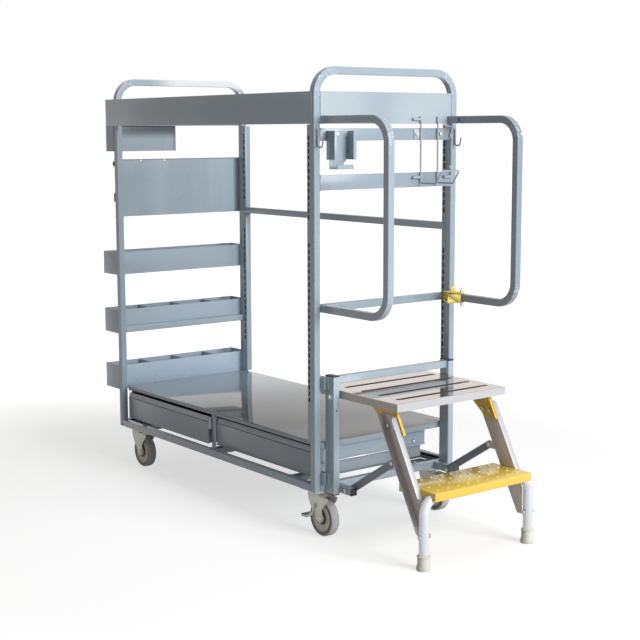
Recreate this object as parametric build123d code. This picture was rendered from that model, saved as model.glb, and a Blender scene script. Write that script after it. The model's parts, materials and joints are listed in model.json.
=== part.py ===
from build123d import *
import os
from math import cos, radians, tan

# Ladder cart: a welded square-tube trolley with a short aluminium ladder bolted to one end.
# Working frame, millimetres: x runs from the bin end to the ladder end, y from the drawer side
# to the far side, z up from the floor. place() moves the finished pieces so that the origin
# is the middle of the whole cart's footprint, on the floor.

# Overall frame
cart_length = 1300.0
cart_width = 620.0
hoop_top = 1546.0
hoop_bend = 77.5
tube = 25.0
tube_wall = 1.5
tube_corner = 3.0
sheet = 1.5
thick_sheet = 2.0
weld_gap = 0.1
running_gap = 0.3
base_cross_inset = 156.0

# Casters
wheel_diameter = 125.0
wheel_width = 32.0
caster_height = 155.0
caster_pad = 5.0
caster_plate = 4.0
caster_plate_x = 100.0
caster_plate_y = 85.0
pad_margin = 5.0
caster_inset = 60.0
caster_trail = 35.0
raceway_diameter = 66.0
raceway_height = 12.0
raceway_chamfer = 3.0
fork_thickness = 4.0
fork_gap = 2.5
fork_eye = 15.0
axle_diameter = 10.0
axle_clearance = 0.05
axle_nut_height = 6.0
hub_diameter = 92.0
hub_barrel = 30.0
hub_web = 12.0
hub_rim = 8.0
hub_stand_out = 2.0
tyre_shoulder = 6.0
pedal_thickness = 3.0
pedal_reach = 62.0
pedal_pivot_x = 8.0
pedal_pivot_z = 100.0
pedal_pivot_diameter = 8.0
pedal_pad_z = 50.0
pedal_tyre_gap = 6.0
pedal_arm = 18.0

# Deck and drawers
deck_top = 324.0
deck_flange = 19.0
deck_front_flange = 13.0
deck_front_inset = 20.0
deck_end_inset = 2.0
cabinet_front = 30.0
cabinet_depth = 490.0
cabinet_left_inset = 47.0
cabinet_right_inset = 40.0
cabinet_drop = 76.0
cabinet_hem = 5.0
cabinet_bolt_back = 53.0
cabinet_bolt_rise = 14.0
stile_width = 28.0
stile_toe = 23.0
drawer_front_height = 102.0
drawer_front_clearance = 14.0
drawer_lip_height = 20.0
drawer_lip_lean = 6.0
drawer_side_gap = 2.5
drawer_return_depth = 12.0
drawer_return_height = 23.0
drawer_box_height = 94.0
drawer_box_depth = 480.0
drawer_left_open = 15.0
slide_height = 36.0
slide_width = 12.0
slide_length = 455.0
slide_set_back = 15.0
slide_lift = 12.0
slide_open_gap = 2.0

# Left end: bins, document box and board
bin_depth = 105.0
bin_upper_bottom = 773.0
bin_upper_height = 90.0
bin_middle_bottom = 536.0
bin_middle_height = 95.0
bin_lower_bottom = 308.0
bin_lower_height = 96.0
bin_bays = 4
left_tube_bottom = 540.0
box_depth = 58.0
box_width = 286.0
box_bottom = 1264.0
board_bottom = 1005.0
board_top = 1232.0
board_lip = 10.0
board_inset = 4.0
knob_diameter = 24.0
knob_stem = 10.0
knob_stand_off = 6.0
knob_depth = 9.0
knob_drop = 17.0
clip_rise = 60.0
clip_height = 35.0
clip_depth = 12.0
clip_width = 18.0

# Upper panels and rails
panel_bottom = 1364.0
panel_top = 1467.0
panel_lip = 14.0
panel_side_gap = 1.0
fascia_end_lap = 12.0
upper_strap_bottom = 1310.0
upper_strap_height = 40.0
lower_strap_bottom = 1152.0
lower_strap_height = 50.0
strap_thickness = 3.0
knee_bar_bottom = 758.0
mid_rail_bottom = 999.0

# Slotted standards beside three of the posts
standard_width = 18.0
standard_left_width = 26.0
standard_depth = 24.0
standard_near_set = 4.0
standard_end_gap = 2.0
slot_pitch = 25.4
slot_pitch_near = 21.2
slot_bridge = 7.0
slot_width = 8.0
slots_start = 456.0
slots_below_rail = 42.0
slots_above_rail = 31.0
slots_near_shift = 33.0
slots_top_gap = 17.0

# Handrails
rail_reach = 334.0
rail_bend = 72.5
rail_top = 1390.0
front_rail_inset = 25.0
rear_rail_inset = 20.0
rail_pin_offset = 66.0
rail_pin_diameter = 8.0
rail_pin_stand_out = 10.5
split_ring_radius = 6.5
split_ring_wire = 2.0
stub_lug = 5.4
clevis_plate = 4.0
clevis_gap = 1.0
clevis_side_lap = 4.0
clevis_tab = 24.0
clevis_tab_width = 29.0
clevis_tab_slope = 20.0

# Small fittings on the ladder end
holder_depth = 42.0
holder_width = 90.0
holder_height = 92.0
holder_offset = 25.0
holder_bottom = 1250.0
holder_lip = 12.0
holder_shelf_drop = 30.0
holder_shelf_inset = 11.0
holder_notch = 9.0
holder_bolt_drop = 11.0
rack_wire = 6.0
rack_width = 77.0
rack_far_inset = 93.0
rack_top = 1389.0
rack_bottom = 1165.0
rack_tray = 77.0
rack_lip_out = 30.0
rack_lip_up = 43.0
rack_sleeve = 10.0
rack_sleeve_length = 36.0
rack_sleeve_inset = 10.0
rack_tab_width = 30.0
rack_tab_height = 32.0
hook_wire = 5.0
hook_top = 1350.0
hook_drop = 60.0
hook_radius = 12.0
hook_tip = 14.0
hook_tab_width = 12.0
hook_tab_height = 24.0
hook_side = 11.0

# Ladder support
post_depth = 46.0
post_offset = 43.0
post_bottom = 157.0
post_top = 548.0
cap_thickness = 4.0
cap_round = 1.5
arm_length = 101.0
arm_pivot = 75.0
cross_bar_set = 10.0
spacer_height = 40.0
spacer_length = 40.0
spacer_wall = 4.0
upper_spacer_bottom = 506.0

# Ladder
platform_top = 501.0
platform_back = 20.0
platform_front = 324.0
platform_depth = 26.0
platform_inset = 74.0
platform_slots = 4
platform_slot_width = 14.0
platform_slot_margin = 45.0
platform_slot_first = 10.0
platform_slot_pitch = 86.0
platform_pivot_x = 25.0
platform_pivot_z = 481.0
leg_width = 60.0
leg_flange = 23.5
leg_sheet = 2.5
leg_rake = 28.6
leg_foot_back = 417.0
leg_foot_front = 460.0
leg_bottom = 90.0
leg_cut = 456.0
leg_corner = 12.0
foot_notch_gap = 1.0
foot_bolt_rise = 15.0
step_top = 243.0
step_back = 303.0
step_front = 472.0
step_lip = 26.0
step_inset = 101.0
foot_tube_diameter = 32.0
foot_tube_wall = 2.0
foot_tube_x = 443.0
foot_tube_inset = 81.5
foot_tube_bend = 50.0
boot_diameter = 40.0
boot_base_diameter = 46.0
boot_height = 48.0
boot_sole = 12.0
boot_flare = 10.0
boot_edge = 2.0
gusset_back = 205.0
gusset_front = 315.0
gusset_height = 100.0
gusset_flange = 28.0
gusset_sheet = 3.0
gusset_bolt_drop = 80.0
gusset_bolt_edge = 16.0
gusset_bolt_pitch = 30.0
brace_width = 25.0
brace_thickness = 5.0
brace_top_x = 279.0
brace_top_z = 302.0

# Bolts
bolt_shank = 8.0
bolt_head = 13.0
bolt_head_height = 5.5
washer_diameter = 22.0
washer_thickness = 1.5

# Values worked out from the sizes above
base_bottom = caster_height + caster_pad
base_top = base_bottom + tube
end_x = cart_length
far_y = cart_width
half_y = cart_width / 2
deck_under = deck_top - thick_sheet
cabinet_left = cabinet_left_inset
cabinet_right = cart_length - cabinet_right_inset
cabinet_bottom = deck_under - cabinet_drop
cabinet_back = cabinet_front + cabinet_depth
stile_left = (cabinet_left + cabinet_right - stile_width) / 2
stile_right = stile_left + stile_width
drawer_front_bottom = base_top + drawer_front_clearance
drawer_front_top = drawer_front_bottom + drawer_front_height
drawer_bays = {
    "left": (cabinet_left + sheet, stile_left, -drawer_left_open),
    "right": (stile_right, cabinet_right - sheet, 0.0),
}
slide_bottom = cabinet_bottom + slide_lift
slide_start = cabinet_front + slide_set_back
axle_z = wheel_diameter / 2
rear_rail_y = far_y - rear_rail_inset - tube
rail_axis_y = rear_rail_y + tube / 2
rail_pin_x = end_x + rail_pin_offset
rail_low_z = knee_bar_bottom + tube / 2
rail_high_z = rail_top - tube / 2
clevis_half = tube / 2 + clevis_gap + clevis_plate
post_inner_y = post_offset + tube
arm_inner_y = post_inner_y + tube
platform_slot_length = cart_width - 2 * (platform_inset + platform_slot_margin)
leg_top = platform_top - thick_sheet
leg_run = tan(radians(leg_rake))
leg_span = leg_width / cos(radians(leg_rake))
leg_web_y = step_inset - leg_sheet
foot_x = end_x + foot_tube_x
foot_tube_z = step_top - thick_sheet - weld_gap - foot_tube_diameter / 2
foot_bolt_z = leg_bottom + foot_bolt_rise
origin_x = (end_x + step_front - bin_depth) / 2
origin_y = (far_y - thick_sheet) / 2
corner = (Align.MIN, Align.MIN, Align.MIN)


def place(shape):
    return Pos(-origin_x, -origin_y, 0) * shape


def block(x0, x1, y0, y1, z0, z1):
    return Pos(x0, y0, z0) * Box(x1 - x0, y1 - y0, z1 - z0, align=corner)


def rod(start, end, diameter):
    # Round bar between two points
    a = Vector(*start)
    b = Vector(*end)
    return extrude(Plane(origin=a, z_dir=b - a) * Circle(diameter / 2), (b - a).length)


def rod_y(x, z, y0, y1, diameter):
    return rod((x, y0, z), (x, y1, z), diameter)


def disc(x, y, z0, z1, diameter):
    return rod((x, y, z0), (x, y, z1), diameter)


def tube_section(width, height, inset):
    # Outline of a tube with rounded corners, drawn in from its outer face by inset
    return RectangleRounded(width - 2 * inset, height - 2 * inset, tube_corner - inset)


def square_tube(x0, x1, y0, y1, z0, z1, axis):
    # Hollow tube that fills the box, open at both ends along the axis
    start = Vector(x0, y0, z0)
    span = Vector(x1, y1, z1) - start
    run = {"x": Vector(span.X, 0, 0), "y": Vector(0, span.Y, 0), "z": Vector(0, 0, span.Z)}[axis]
    width, height = {"x": (span.Y, span.Z), "y": (span.X, span.Z), "z": (span.X, span.Y)}[axis]
    x_dir = (0, 1, 0) if axis == "x" else (1, 0, 0)
    plane = Plane(origin=start + (span - run) / 2, x_dir=x_dir, z_dir=run)
    wall = tube_section(width, height, 0.0) - tube_section(width, height, tube_wall)
    return extrude(plane * wall, run.length)


def bent_tube(points, bend, x_dir):
    # Square tube swept along straight runs joined by arcs
    path = FilletPolyline(*points, radius=bend)
    start = Vector(*points[0])
    plane = Plane(origin=start, x_dir=x_dir, z_dir=Vector(*points[1]) - start)
    outer = sweep(plane * tube_section(tube, tube, 0.0), path=path)
    return outer - sweep(plane * tube_section(tube, tube, tube_wall), path=path)


def bent_wire(points, bend, diameter):
    path = FilletPolyline(*points, radius=bend)
    start = Vector(*points[0])
    plane = Plane(origin=start, z_dir=Vector(*points[1]) - start)
    return sweep(plane * Circle(diameter / 2), path=path)


def mirrored(shape):
    # The same piece on the far side of the cart
    return mirror(shape, about=Plane((0, half_y, 0), z_dir=(0, 1, 0)))


def both_sides(shape):
    return [shape, mirrored(shape)]


def flat_pattern(points, thickness, y0):
    # Plate with the given x, z outline, from y0 towards +y
    plane = Plane(origin=(0, y0, 0), x_dir=(1, 0, 0), z_dir=(0, -1, 0))
    return extrude(plane * make_face(Polyline(*points, close=True)), -thickness)


def hexagon(origin, direction, across, height):
    plane = Plane(origin=origin, z_dir=direction)
    return extrude(plane * RegularPolygon(across / 2, 6, major_radius=False), height)


def bolt_y(x, z, y_head, y_nut, washer=False):
    # Hexagon bolt along +y: its head bears on y_head and its nut on y_nut
    seat = y_head - (washer_thickness if washer else 0.0)
    bolt = rod_y(x, z, seat, y_nut, bolt_shank)
    if washer:
        bolt += rod_y(x, z, seat, y_head, washer_diameter)
    bolt += hexagon((x, seat, z), (0, -1, 0), bolt_head, bolt_head_height)
    return bolt + hexagon((x, y_nut, z), (0, 1, 0), bolt_head, bolt_head_height)


# Tube frame

def hoop(x0):
    xc = x0 + tube / 2
    y0 = tube / 2
    y1 = far_y - tube / 2
    zc = hoop_top - tube / 2
    points = [(xc, y0, base_bottom), (xc, y0, zc), (xc, y1, zc), (xc, y1, base_bottom)]
    return bent_tube(points, hoop_bend, (1, 0, 0))


def base_frame():
    long_rail = square_tube(tube, end_x - tube, 0, tube, base_bottom, base_top, "x")
    left_rail = square_tube(0, tube, tube, far_y - tube, base_bottom, base_top, "y")
    rails = both_sides(long_rail) + [left_rail, Pos(end_x - tube, 0, 0) * left_rail]
    for x in (base_cross_inset, cart_length / 2, cart_length - base_cross_inset):
        rails.append(Pos(x - tube / 2, 0, 0) * left_rail)
    return rails


def knee_bar():
    return square_tube(end_x - tube, end_x, tube, far_y - tube, knee_bar_bottom, knee_bar_bottom + tube, "y")


def cross_tubes():
    mid_rail = square_tube(tube, end_x - tube, far_y - tube, far_y, mid_rail_bottom, mid_rail_bottom + tube, "x")
    left_tube = square_tube(0, tube, tube, far_y - tube, left_tube_bottom, left_tube_bottom + tube, "y")
    return [mid_rail, left_tube]


def standard(width, z0, z1, pitch, rows):
    # Thin tube between two heights with rows of slots in its front wall, which stands at y = 0
    strip = block(0, width, 0, standard_depth, z0, z1)
    strip -= block(sheet, width - sheet, sheet, standard_depth - sheet, z0, z1)
    slot = Box(slot_width, 3 * sheet, pitch - slot_bridge)
    cuts = []
    for low, high in rows:
        count = int((high - low) // pitch)
        cuts += [Pos(width / 2, 0, low + pitch * (i + 0.5)) * slot for i in range(count)]
    return strip - cuts


def slotted_standards():
    # The far posts carry a strip above and below the mid rail, the near ladder-end post one strip
    z_low = deck_top + standard_end_gap
    z_high = panel_bottom - standard_end_gap
    z_rail = mid_rail_bottom + tube
    low_row = (slots_start, mid_rail_bottom - slots_below_rail)
    high_row = (z_rail + slots_above_rail, z_high - slots_top_gap)
    strips = []
    for x, width in ((tube, standard_left_width), (end_x - tube - standard_width, standard_width)):
        lower = standard(width, z_low, mid_rail_bottom, slot_pitch, [low_row])
        upper = standard(width, z_rail, z_high, slot_pitch, [high_row])
        strips += [Pos(x, far_y - tube, 0) * lower, Pos(x, far_y - tube, 0) * upper]
    near_rows = [(slots_start, low_row[1] + slots_near_shift), (high_row[0], high_row[1])]
    near = standard(standard_width, z_low, z_high, slot_pitch_near, near_rows)
    return strips + [Pos(end_x - tube - standard_width, standard_near_set, 0) * near]


# Deck and drawers

def deck_panel():
    # Folded tray, narrowed at its ends to pass between the posts and standards, its front edge shallower
    z0 = deck_top - deck_flange
    x_mid = tube + standard_width + deck_end_inset
    y_end = tube + deck_end_inset
    spans = [(x_mid, end_x - x_mid, deck_front_inset, far_y - deck_front_inset),
             (tube + deck_end_inset, end_x - deck_end_inset, y_end, far_y - y_end)]
    t = thick_sheet
    outer = [block(x0, x1, y0, y1, z0, deck_top) for x0, x1, y0, y1 in spans]
    inner = [block(x0 + t, x1 - t, y0 + t, y1 - t, z0, deck_under) for x0, x1, y0, y1 in spans]
    below = block(x_mid, end_x - x_mid, deck_front_inset, deck_front_inset + t, z0, deck_top - deck_front_flange)
    return outer[0] + outer[1] - inner[0] - inner[1] - below


def drawer_cabinet():
    # Sheet housing hung under the deck: a back and two side walls with a hem turned out at the bottom
    outer = block(cabinet_left, cabinet_right, cabinet_front, cabinet_back, cabinet_bottom, deck_under)
    inner = block(cabinet_left + sheet, cabinet_right - sheet, cabinet_front, cabinet_back - sheet,
                  cabinet_bottom, deck_under)
    hem = block(cabinet_left - cabinet_hem, cabinet_left, cabinet_front, cabinet_back,
                cabinet_bottom, cabinet_bottom + sheet)
    return outer - inner + hem + Pos(cabinet_right - cabinet_left + cabinet_hem, 0, 0) * hem


def centre_stile():
    # Folded channel between the drawers: its front stands on the base, its sides carry the slides
    y_back = cabinet_front - weld_gap
    y_front = y_back - sheet
    front = block(stile_left, stile_right, y_front, y_back, base_top, deck_under)
    toe = block(stile_left, stile_right, y_back - stile_toe, y_back, base_top, base_top + sheet)
    side = block(stile_left, stile_left + sheet, y_front, cabinet_back - sheet, cabinet_bottom, deck_under)
    return front + toe + side + Pos(stile_width - sheet, 0, 0) * side


def slide_outer(x_wall, way):
    # Channel fixed to the wall at x_wall, open towards the drawer; way is +1 or -1
    x0, x1 = sorted((x_wall, x_wall + way * (slide_width - slide_open_gap)))
    c0, c1 = sorted((x_wall + way * sheet, x_wall + way * slide_width))
    y1 = slide_start + slide_length
    channel = block(x0, x1, slide_start, y1, slide_bottom, slide_bottom + slide_height)
    return channel - block(c0, c1, slide_start, y1, slide_bottom + sheet, slide_bottom + slide_height - sheet)


def slides_outer():
    slides = []
    for x0, x1, shift in drawer_bays.values():
        slides += [slide_outer(x0, 1), slide_outer(x1, -1)]
    return slides


def slides_inner(bay):
    # Channels on the drawer's two sides that run inside the fixed channels
    x0, x1, shift = bay
    y0 = slide_start + shift
    y1 = y0 + slide_length
    z0 = slide_bottom + sheet + running_gap
    z1 = slide_bottom + slide_height - sheet - running_gap
    near = block(x0 + sheet + running_gap, x0 + slide_width, y0, y1, z0, z1)
    near -= block(x0, x0 + slide_width - sheet, y0, y1, z0 + sheet, z1 - sheet)
    return [near, mirror(near, about=Plane(((x0 + x1) / 2, 0, 0), z_dir=(1, 0, 0)))]


def drawer(bay):
    # Sheet drawer: a tray behind a front whose top edge leans back as a finger lip and whose ends turn back
    x0, x1, shift = bay
    y_face = cabinet_front + shift
    y_back = y_face + sheet
    fold = drawer_front_top - drawer_lip_height
    profile = [(y_face, drawer_front_bottom), (y_back, drawer_front_bottom), (y_back, fold),
               (y_back + drawer_lip_lean, drawer_front_top), (y_face + drawer_lip_lean, drawer_front_top),
               (y_face, fold)]
    side = Plane(origin=(x0 + drawer_side_gap, 0, 0), x_dir=(0, 1, 0), z_dir=(1, 0, 0))
    front = extrude(side * make_face(Polyline(*profile, close=True)), x1 - x0 - 2 * drawer_side_gap)
    for x in (x0 + drawer_side_gap, x1 - drawer_side_gap - sheet):
        front += block(x, x + sheet, y_back, y_back + drawer_return_depth, fold - drawer_return_height, fold)
    b0 = x0 + slide_width
    b1 = x1 - slide_width
    z0 = drawer_front_bottom
    z1 = z0 + drawer_box_height
    tray = block(b0, b1, y_back, y_back + drawer_box_depth, z0, z1)
    tray -= block(b0 + sheet, b1 - sheet, y_back, y_back + drawer_box_depth - sheet, z0 + sheet, z1)
    return front + tray


# Left end

def storage_bin(z0, height):
    outer = block(-bin_depth, 0, 0, far_y, z0, z0 + height)
    return outer - block(-bin_depth + sheet, -sheet, sheet, far_y - sheet, z0 + sheet, z0 + height)


def bin_dividers():
    bay = far_y / bin_bays
    plates = []
    for z0, height in ((bin_middle_bottom, bin_middle_height), (bin_lower_bottom, bin_lower_height)):
        for i in range(1, bin_bays):
            y = bay * i - sheet / 2
            plates.append(block(-bin_depth + sheet, -sheet, y, y + sheet, z0 + sheet, z0 + height - sheet))
    return plates


def document_box():
    outer = block(-box_depth, 0, 0, box_width, box_bottom, panel_top)
    return outer - block(-box_depth + sheet, -sheet, sheet, box_width - sheet, box_bottom + sheet, panel_top)


def back_board():
    # Flat sheet on the outer face of the left posts, its long edges folded outwards
    y1 = far_y - board_inset
    board = block(-thick_sheet, 0, board_inset, y1, board_bottom, board_top)
    lip = block(-board_lip, 0, board_inset, y1, board_bottom, board_bottom + thick_sheet)
    return board + lip + Pos(0, 0, board_top - board_bottom - thick_sheet) * lip


def board_clips():
    # A round thumb knob and a folded clip at each end of the board
    y = tube / 2
    z = board_top - knob_drop
    x0 = -thick_sheet
    x1 = x0 - knob_stand_off
    head = rod((x1, y, z), (x1 - knob_depth, y, z), knob_diameter)
    head = fillet(head.edges().filter_by(GeomType.CIRCLE).group_by(Axis.X)[0], knob_depth / 3)
    knob = head + rod((x0, y, z), (x1, y, z), knob_stem)
    z0 = board_bottom + clip_rise
    half = clip_width / 2
    clip = block(x0 - clip_depth, x0, y - half, y + half, z0, z0 + clip_height)
    clip -= block(x0 - clip_depth + sheet, x0 - sheet, y - half, y + half, z0 + sheet, z0 + clip_height)
    return both_sides(knob) + both_sides(clip)


# Upper panels

def front_fascia():
    # Long panel across the front of the posts and past the document box, with folded long edges
    face = block(-box_depth, end_x - fascia_end_lap, -thick_sheet, 0, panel_bottom, panel_top)
    x0 = tube + weld_gap
    lip = block(x0, end_x - x0, -thick_sheet, panel_lip - thick_sheet, panel_bottom, panel_bottom + thick_sheet)
    return face + lip + Pos(0, 0, panel_top - panel_bottom - thick_sheet) * lip


def end_panels():
    # Panel between the posts at each end, its long edges folded inwards
    y0 = tube + panel_side_gap
    y1 = far_y - y0
    right = block(end_x - thick_sheet, end_x, y0, y1, panel_bottom, panel_top)
    lip = block(end_x - panel_lip, end_x, y0, y1, panel_bottom, panel_bottom + thick_sheet)
    right += lip
    right += Pos(0, 0, panel_top - panel_bottom - thick_sheet) * lip
    return [right, mirror(right, about=Plane((end_x / 2, 0, 0), z_dir=(1, 0, 0)))]


def end_straps():
    x0 = end_x - strap_thickness
    upper = block(x0, end_x, tube, far_y - tube, upper_strap_bottom, upper_strap_bottom + upper_strap_height)
    lower = block(x0, end_x, tube, far_y - tube, lower_strap_bottom, lower_strap_bottom + lower_strap_height)
    return [upper, lower]


# Fittings on the ladder end

def scanner_holder():
    # Folded pocket open to the front and top, with a shelf on a notched tab below it
    t = thick_sheet
    y0 = tube + holder_offset
    y1 = y0 + holder_width
    z1 = holder_bottom + holder_height
    x1 = end_x + holder_depth
    pocket = block(end_x, x1, y0, y1, holder_bottom, z1)
    pocket -= block(end_x + t, x1 - t, y0 + t, y1 - t, holder_bottom, z1)
    pocket -= block(x1 - t, x1, y0 + holder_lip, y1 - holder_lip, holder_bottom, z1)
    s0 = y0 + holder_shelf_inset
    s1 = y1 - holder_shelf_inset
    shelf_z = holder_bottom - holder_shelf_drop
    tab = block(end_x, end_x + t, s0, s1, shelf_z, holder_bottom)
    notch_z = (shelf_z + holder_bottom) / 2
    tab -= rod((end_x, s1, notch_z), (end_x + t, s1, notch_z), 2 * holder_notch)
    return pocket + tab + block(end_x, x1 - t, s0, s1, shelf_z, shelf_z + t)


def wire_rack():
    # One bent wire: two uprights, a tray and a raised lip; two sleeves and two bolted tabs
    x = end_x + strap_thickness + rack_wire / 2 - weld_gap
    y1 = far_y - rack_far_inset
    y0 = y1 - rack_width
    x_front = x + rack_tray
    x_lip = x_front + rack_lip_out
    z_lip = rack_bottom + rack_lip_up
    points = [(x, y0, rack_top), (x, y0, rack_bottom), (x_front, y0, rack_bottom), (x_lip, y0, z_lip),
              (x_lip, y1, z_lip), (x_front, y1, rack_bottom), (x, y1, rack_bottom), (x, y1, rack_top)]
    rack = bent_wire(points, 1.5 * rack_wire, rack_wire)
    for z in (rack_top - rack_sleeve_inset, rack_bottom + 2 * rack_sleeve_inset):
        rack += rod((x, y0, z), (x, y0 - rack_sleeve_length, z), rack_sleeve)
    z0 = upper_strap_bottom + (upper_strap_height - rack_tab_height) / 2
    for y in (y0 + rack_wire / 2 - rack_tab_width, y1 - rack_wire / 2):
        rack += block(end_x, end_x + strap_thickness, y, y + rack_tab_width, z0, z0 + rack_tab_height)
    return rack


def j_hook():
    # Flat tab on the post with a wire that drops and turns up towards the ladder
    y = hook_side
    half = hook_tab_width / 2
    tab = block(end_x, end_x + thick_sheet, y - half, y + half, hook_top - hook_tab_height, hook_top)
    x = end_x + thick_sheet + hook_wire / 2 - weld_gap
    x_tip = x + 2 * hook_radius
    z_low = hook_top - hook_drop
    points = [(x, y, hook_top - hook_wire), (x, y, z_low), (x_tip, y, z_low),
              (x_tip + hook_wire, y, z_low + hook_radius + hook_tip)]
    return tab + bent_wire(points, hook_radius * 0.9, hook_wire)


# Handrails

def handrail(y0, x_start):
    # Square-tube loop standing out from the ladder end, both of its ends at x_start
    y = y0 + tube / 2
    x = end_x + rail_reach - tube / 2
    points = [(x_start, y, rail_high_z), (x, y, rail_high_z), (x, y, rail_low_z), (x_start, y, rail_low_z)]
    return bent_tube(points, rail_bend, (0, 1, 0))


def rear_handrail():
    # Swinging loop: a rounded lower end between the clevis plates and an upper tongue between lugs
    y0 = rear_rail_y
    y1 = rear_rail_y + tube
    x_start = rail_pin_x + tube
    x_full = rail_pin_x + tube / 2 + clevis_gap
    low = rail_low_z - tube / 2
    end = disc(rail_pin_x, rail_axis_y, low, low + tube, tube)
    end += block(rail_pin_x, x_start, y0, y1, low, low + tube)
    t0 = rail_high_z - tube / 2 + stub_lug + running_gap
    t1 = rail_high_z + tube / 2 - stub_lug - running_gap
    end += disc(rail_pin_x, rail_axis_y, t0, t1, tube)
    end += block(rail_pin_x, x_full, y0, y1, t0, t1)
    end += block(x_full, x_start, y0, y1, rail_high_z - tube / 2, rail_high_z + tube / 2)
    bore = disc(rail_pin_x, rail_axis_y, low, rail_top, rail_pin_diameter + 2 * axle_clearance)
    return handrail(rear_rail_y, x_start) + (end - bore)


def rail_clevis():
    # Bracket on the knee bar that holds the lower pin, closed on the near side, with a tab on the post
    y0 = rear_rail_y
    y1 = rear_rail_y + tube
    z0 = rail_low_z - clevis_half
    z1 = rail_low_z + clevis_half
    y_side = y0 - clevis_gap - clevis_plate
    clevis = block(end_x, end_x + clevis_plate, y_side, y1, z0, z1)
    clevis += block(end_x, rail_pin_x + clevis_side_lap, y_side, y0 - clevis_gap, z0, z1)
    for z in (z0, z1 - clevis_plate):
        clevis += block(end_x, rail_pin_x, y_side, y1, z, z + clevis_plate)
        clevis += disc(rail_pin_x, rail_axis_y, z, z + clevis_plate, tube)
    clevis -= disc(rail_pin_x, rail_axis_y, z0, z1, rail_pin_diameter)
    tab_y = rear_rail_y + tube - clevis_tab_width + 2 * clevis_plate
    tab = block(end_x, end_x + clevis_plate, tab_y, tab_y + clevis_tab_width, z1 - clevis_plate, z1 + clevis_tab)
    slope = Pos(end_x, tab_y, z1 + clevis_tab) * Rot(-clevis_tab_slope, 0, 0)
    return clevis + (tab - slope * block(-tube, tube, -tube, 3 * tube, 0, tube))


def rail_stub():
    # Short fixed end of the rear handrail's upper bar, with two lugs that hold the upper pin
    y0 = rear_rail_y
    y1 = rear_rail_y + tube
    z0 = rail_high_z - tube / 2
    x_full = rail_pin_x - tube / 2 - clevis_gap
    stub = block(end_x, x_full, y0, y1, z0, rail_top)
    for z in (z0, rail_top - stub_lug):
        stub += block(x_full, rail_pin_x, y0, y1, z, z + stub_lug)
        stub += disc(rail_pin_x, rail_axis_y, z, z + stub_lug, tube)
    return stub - disc(rail_pin_x, rail_axis_y, z0, rail_top, rail_pin_diameter)


def rail_pins():
    # Two vertical pins fixed in the plates and lugs, the lower one with a split ring at each end
    upper = disc(rail_pin_x, rail_axis_y, rail_top - tube, rail_top, rail_pin_diameter)
    reach = clevis_half + rail_pin_stand_out
    lower = disc(rail_pin_x, rail_axis_y, rail_low_z - reach, rail_low_z + reach, rail_pin_diameter)
    for way in (-1, 1):
        z = rail_low_z + way * (reach - split_ring_wire)
        ring = Torus(split_ring_radius, split_ring_wire / 2)
        lower += Pos(rail_pin_x + split_ring_radius, rail_axis_y, z) * Rot(90, 0, 0) * ring
    return [upper, lower]


# Ladder support welded to the cart

def ladder_post():
    post = square_tube(end_x, end_x + post_depth, post_offset, post_inner_y, post_bottom, post_top, "z")
    return post - rod_y(end_x + platform_pivot_x, platform_pivot_z, post_offset, post_inner_y, bolt_shank)


def ladder_cross_bar():
    x0 = end_x + cross_bar_set
    return square_tube(x0, x0 + tube, post_inner_y, far_y - post_inner_y, post_top - tube, post_top, "y")


def ladder_arm():
    arm = square_tube(end_x, end_x + arm_length, post_inner_y, arm_inner_y, base_bottom, base_top, "x")
    return arm - rod_y(end_x + arm_pivot, base_bottom + tube / 2, post_inner_y, arm_inner_y, bolt_shank)


def end_caps():
    # Plugs on the open ends of the ladder posts and arms
    x1 = end_x + post_depth
    top = block(end_x, x1, post_offset, post_inner_y, post_top, post_top + cap_thickness)
    top = fillet(top.edges().group_by(Axis.Z)[-1], cap_round)
    foot = block(end_x, x1, post_offset, post_inner_y, post_bottom - cap_thickness, post_bottom)
    foot = fillet(foot.edges().group_by(Axis.Z)[0], cap_round)
    x0 = end_x + arm_length
    arm = block(x0, x0 + cap_thickness, post_inner_y, arm_inner_y, base_bottom, base_top)
    arm = fillet(arm.edges().group_by(Axis.X)[-1], cap_round)
    return both_sides(top) + both_sides(foot) + both_sides(arm)


def post_spacers():
    # Channels welded between the cart's posts and the ladder posts
    x0 = end_x - spacer_length / 2
    x1 = x0 + spacer_length
    spacers = []
    for z0 in (upper_spacer_bottom, base_top):
        z1 = z0 + spacer_height
        channel = block(x0, x1, tube, post_offset, z0, z1)
        channel -= block(x0 + spacer_wall, x1, tube + spacer_wall, post_offset - spacer_wall, z0, z1)
        spacers += both_sides(channel)
    return spacers


# Ladder

def platform():
    # Folded tray with long grip slots across the top
    t = thick_sheet
    x0 = end_x - platform_back
    x1 = end_x + platform_front
    y0 = platform_inset
    y1 = far_y - platform_inset
    z0 = platform_top - platform_depth
    tray = block(x0, x1, y0, y1, z0, platform_top) - block(x0 + t, x1 - t, y0 + t, y1 - t, z0, platform_top - t)
    for i in range(platform_slots):
        x = end_x + platform_slot_first + platform_slot_pitch * i
        slot = SlotOverall(platform_slot_length, platform_slot_width)
        tray -= extrude(Pos(x, half_y, platform_top) * Rot(0, 0, 90) * slot, -t)
    return tray - rod_y(end_x + platform_pivot_x, platform_pivot_z, y0, y1, bolt_shank)


def leg_back_x(z):
    # Rear edge of a leg at height z
    return end_x + leg_foot_back - (z - leg_bottom) * leg_run


def leg_outline(inset):
    # Raked strip, its foot cut off upright in front
    edge = inset / cos(radians(leg_rake))
    x_front = end_x + leg_foot_front - inset
    z_front = leg_bottom + (end_x + leg_foot_back + leg_span - edge - x_front) / leg_run
    return [(leg_back_x(leg_bottom) + edge, leg_bottom), (x_front, leg_bottom), (x_front, z_front),
            (leg_back_x(leg_cut) + leg_span - edge, leg_cut), (leg_back_x(leg_cut) + edge, leg_cut)]


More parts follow.
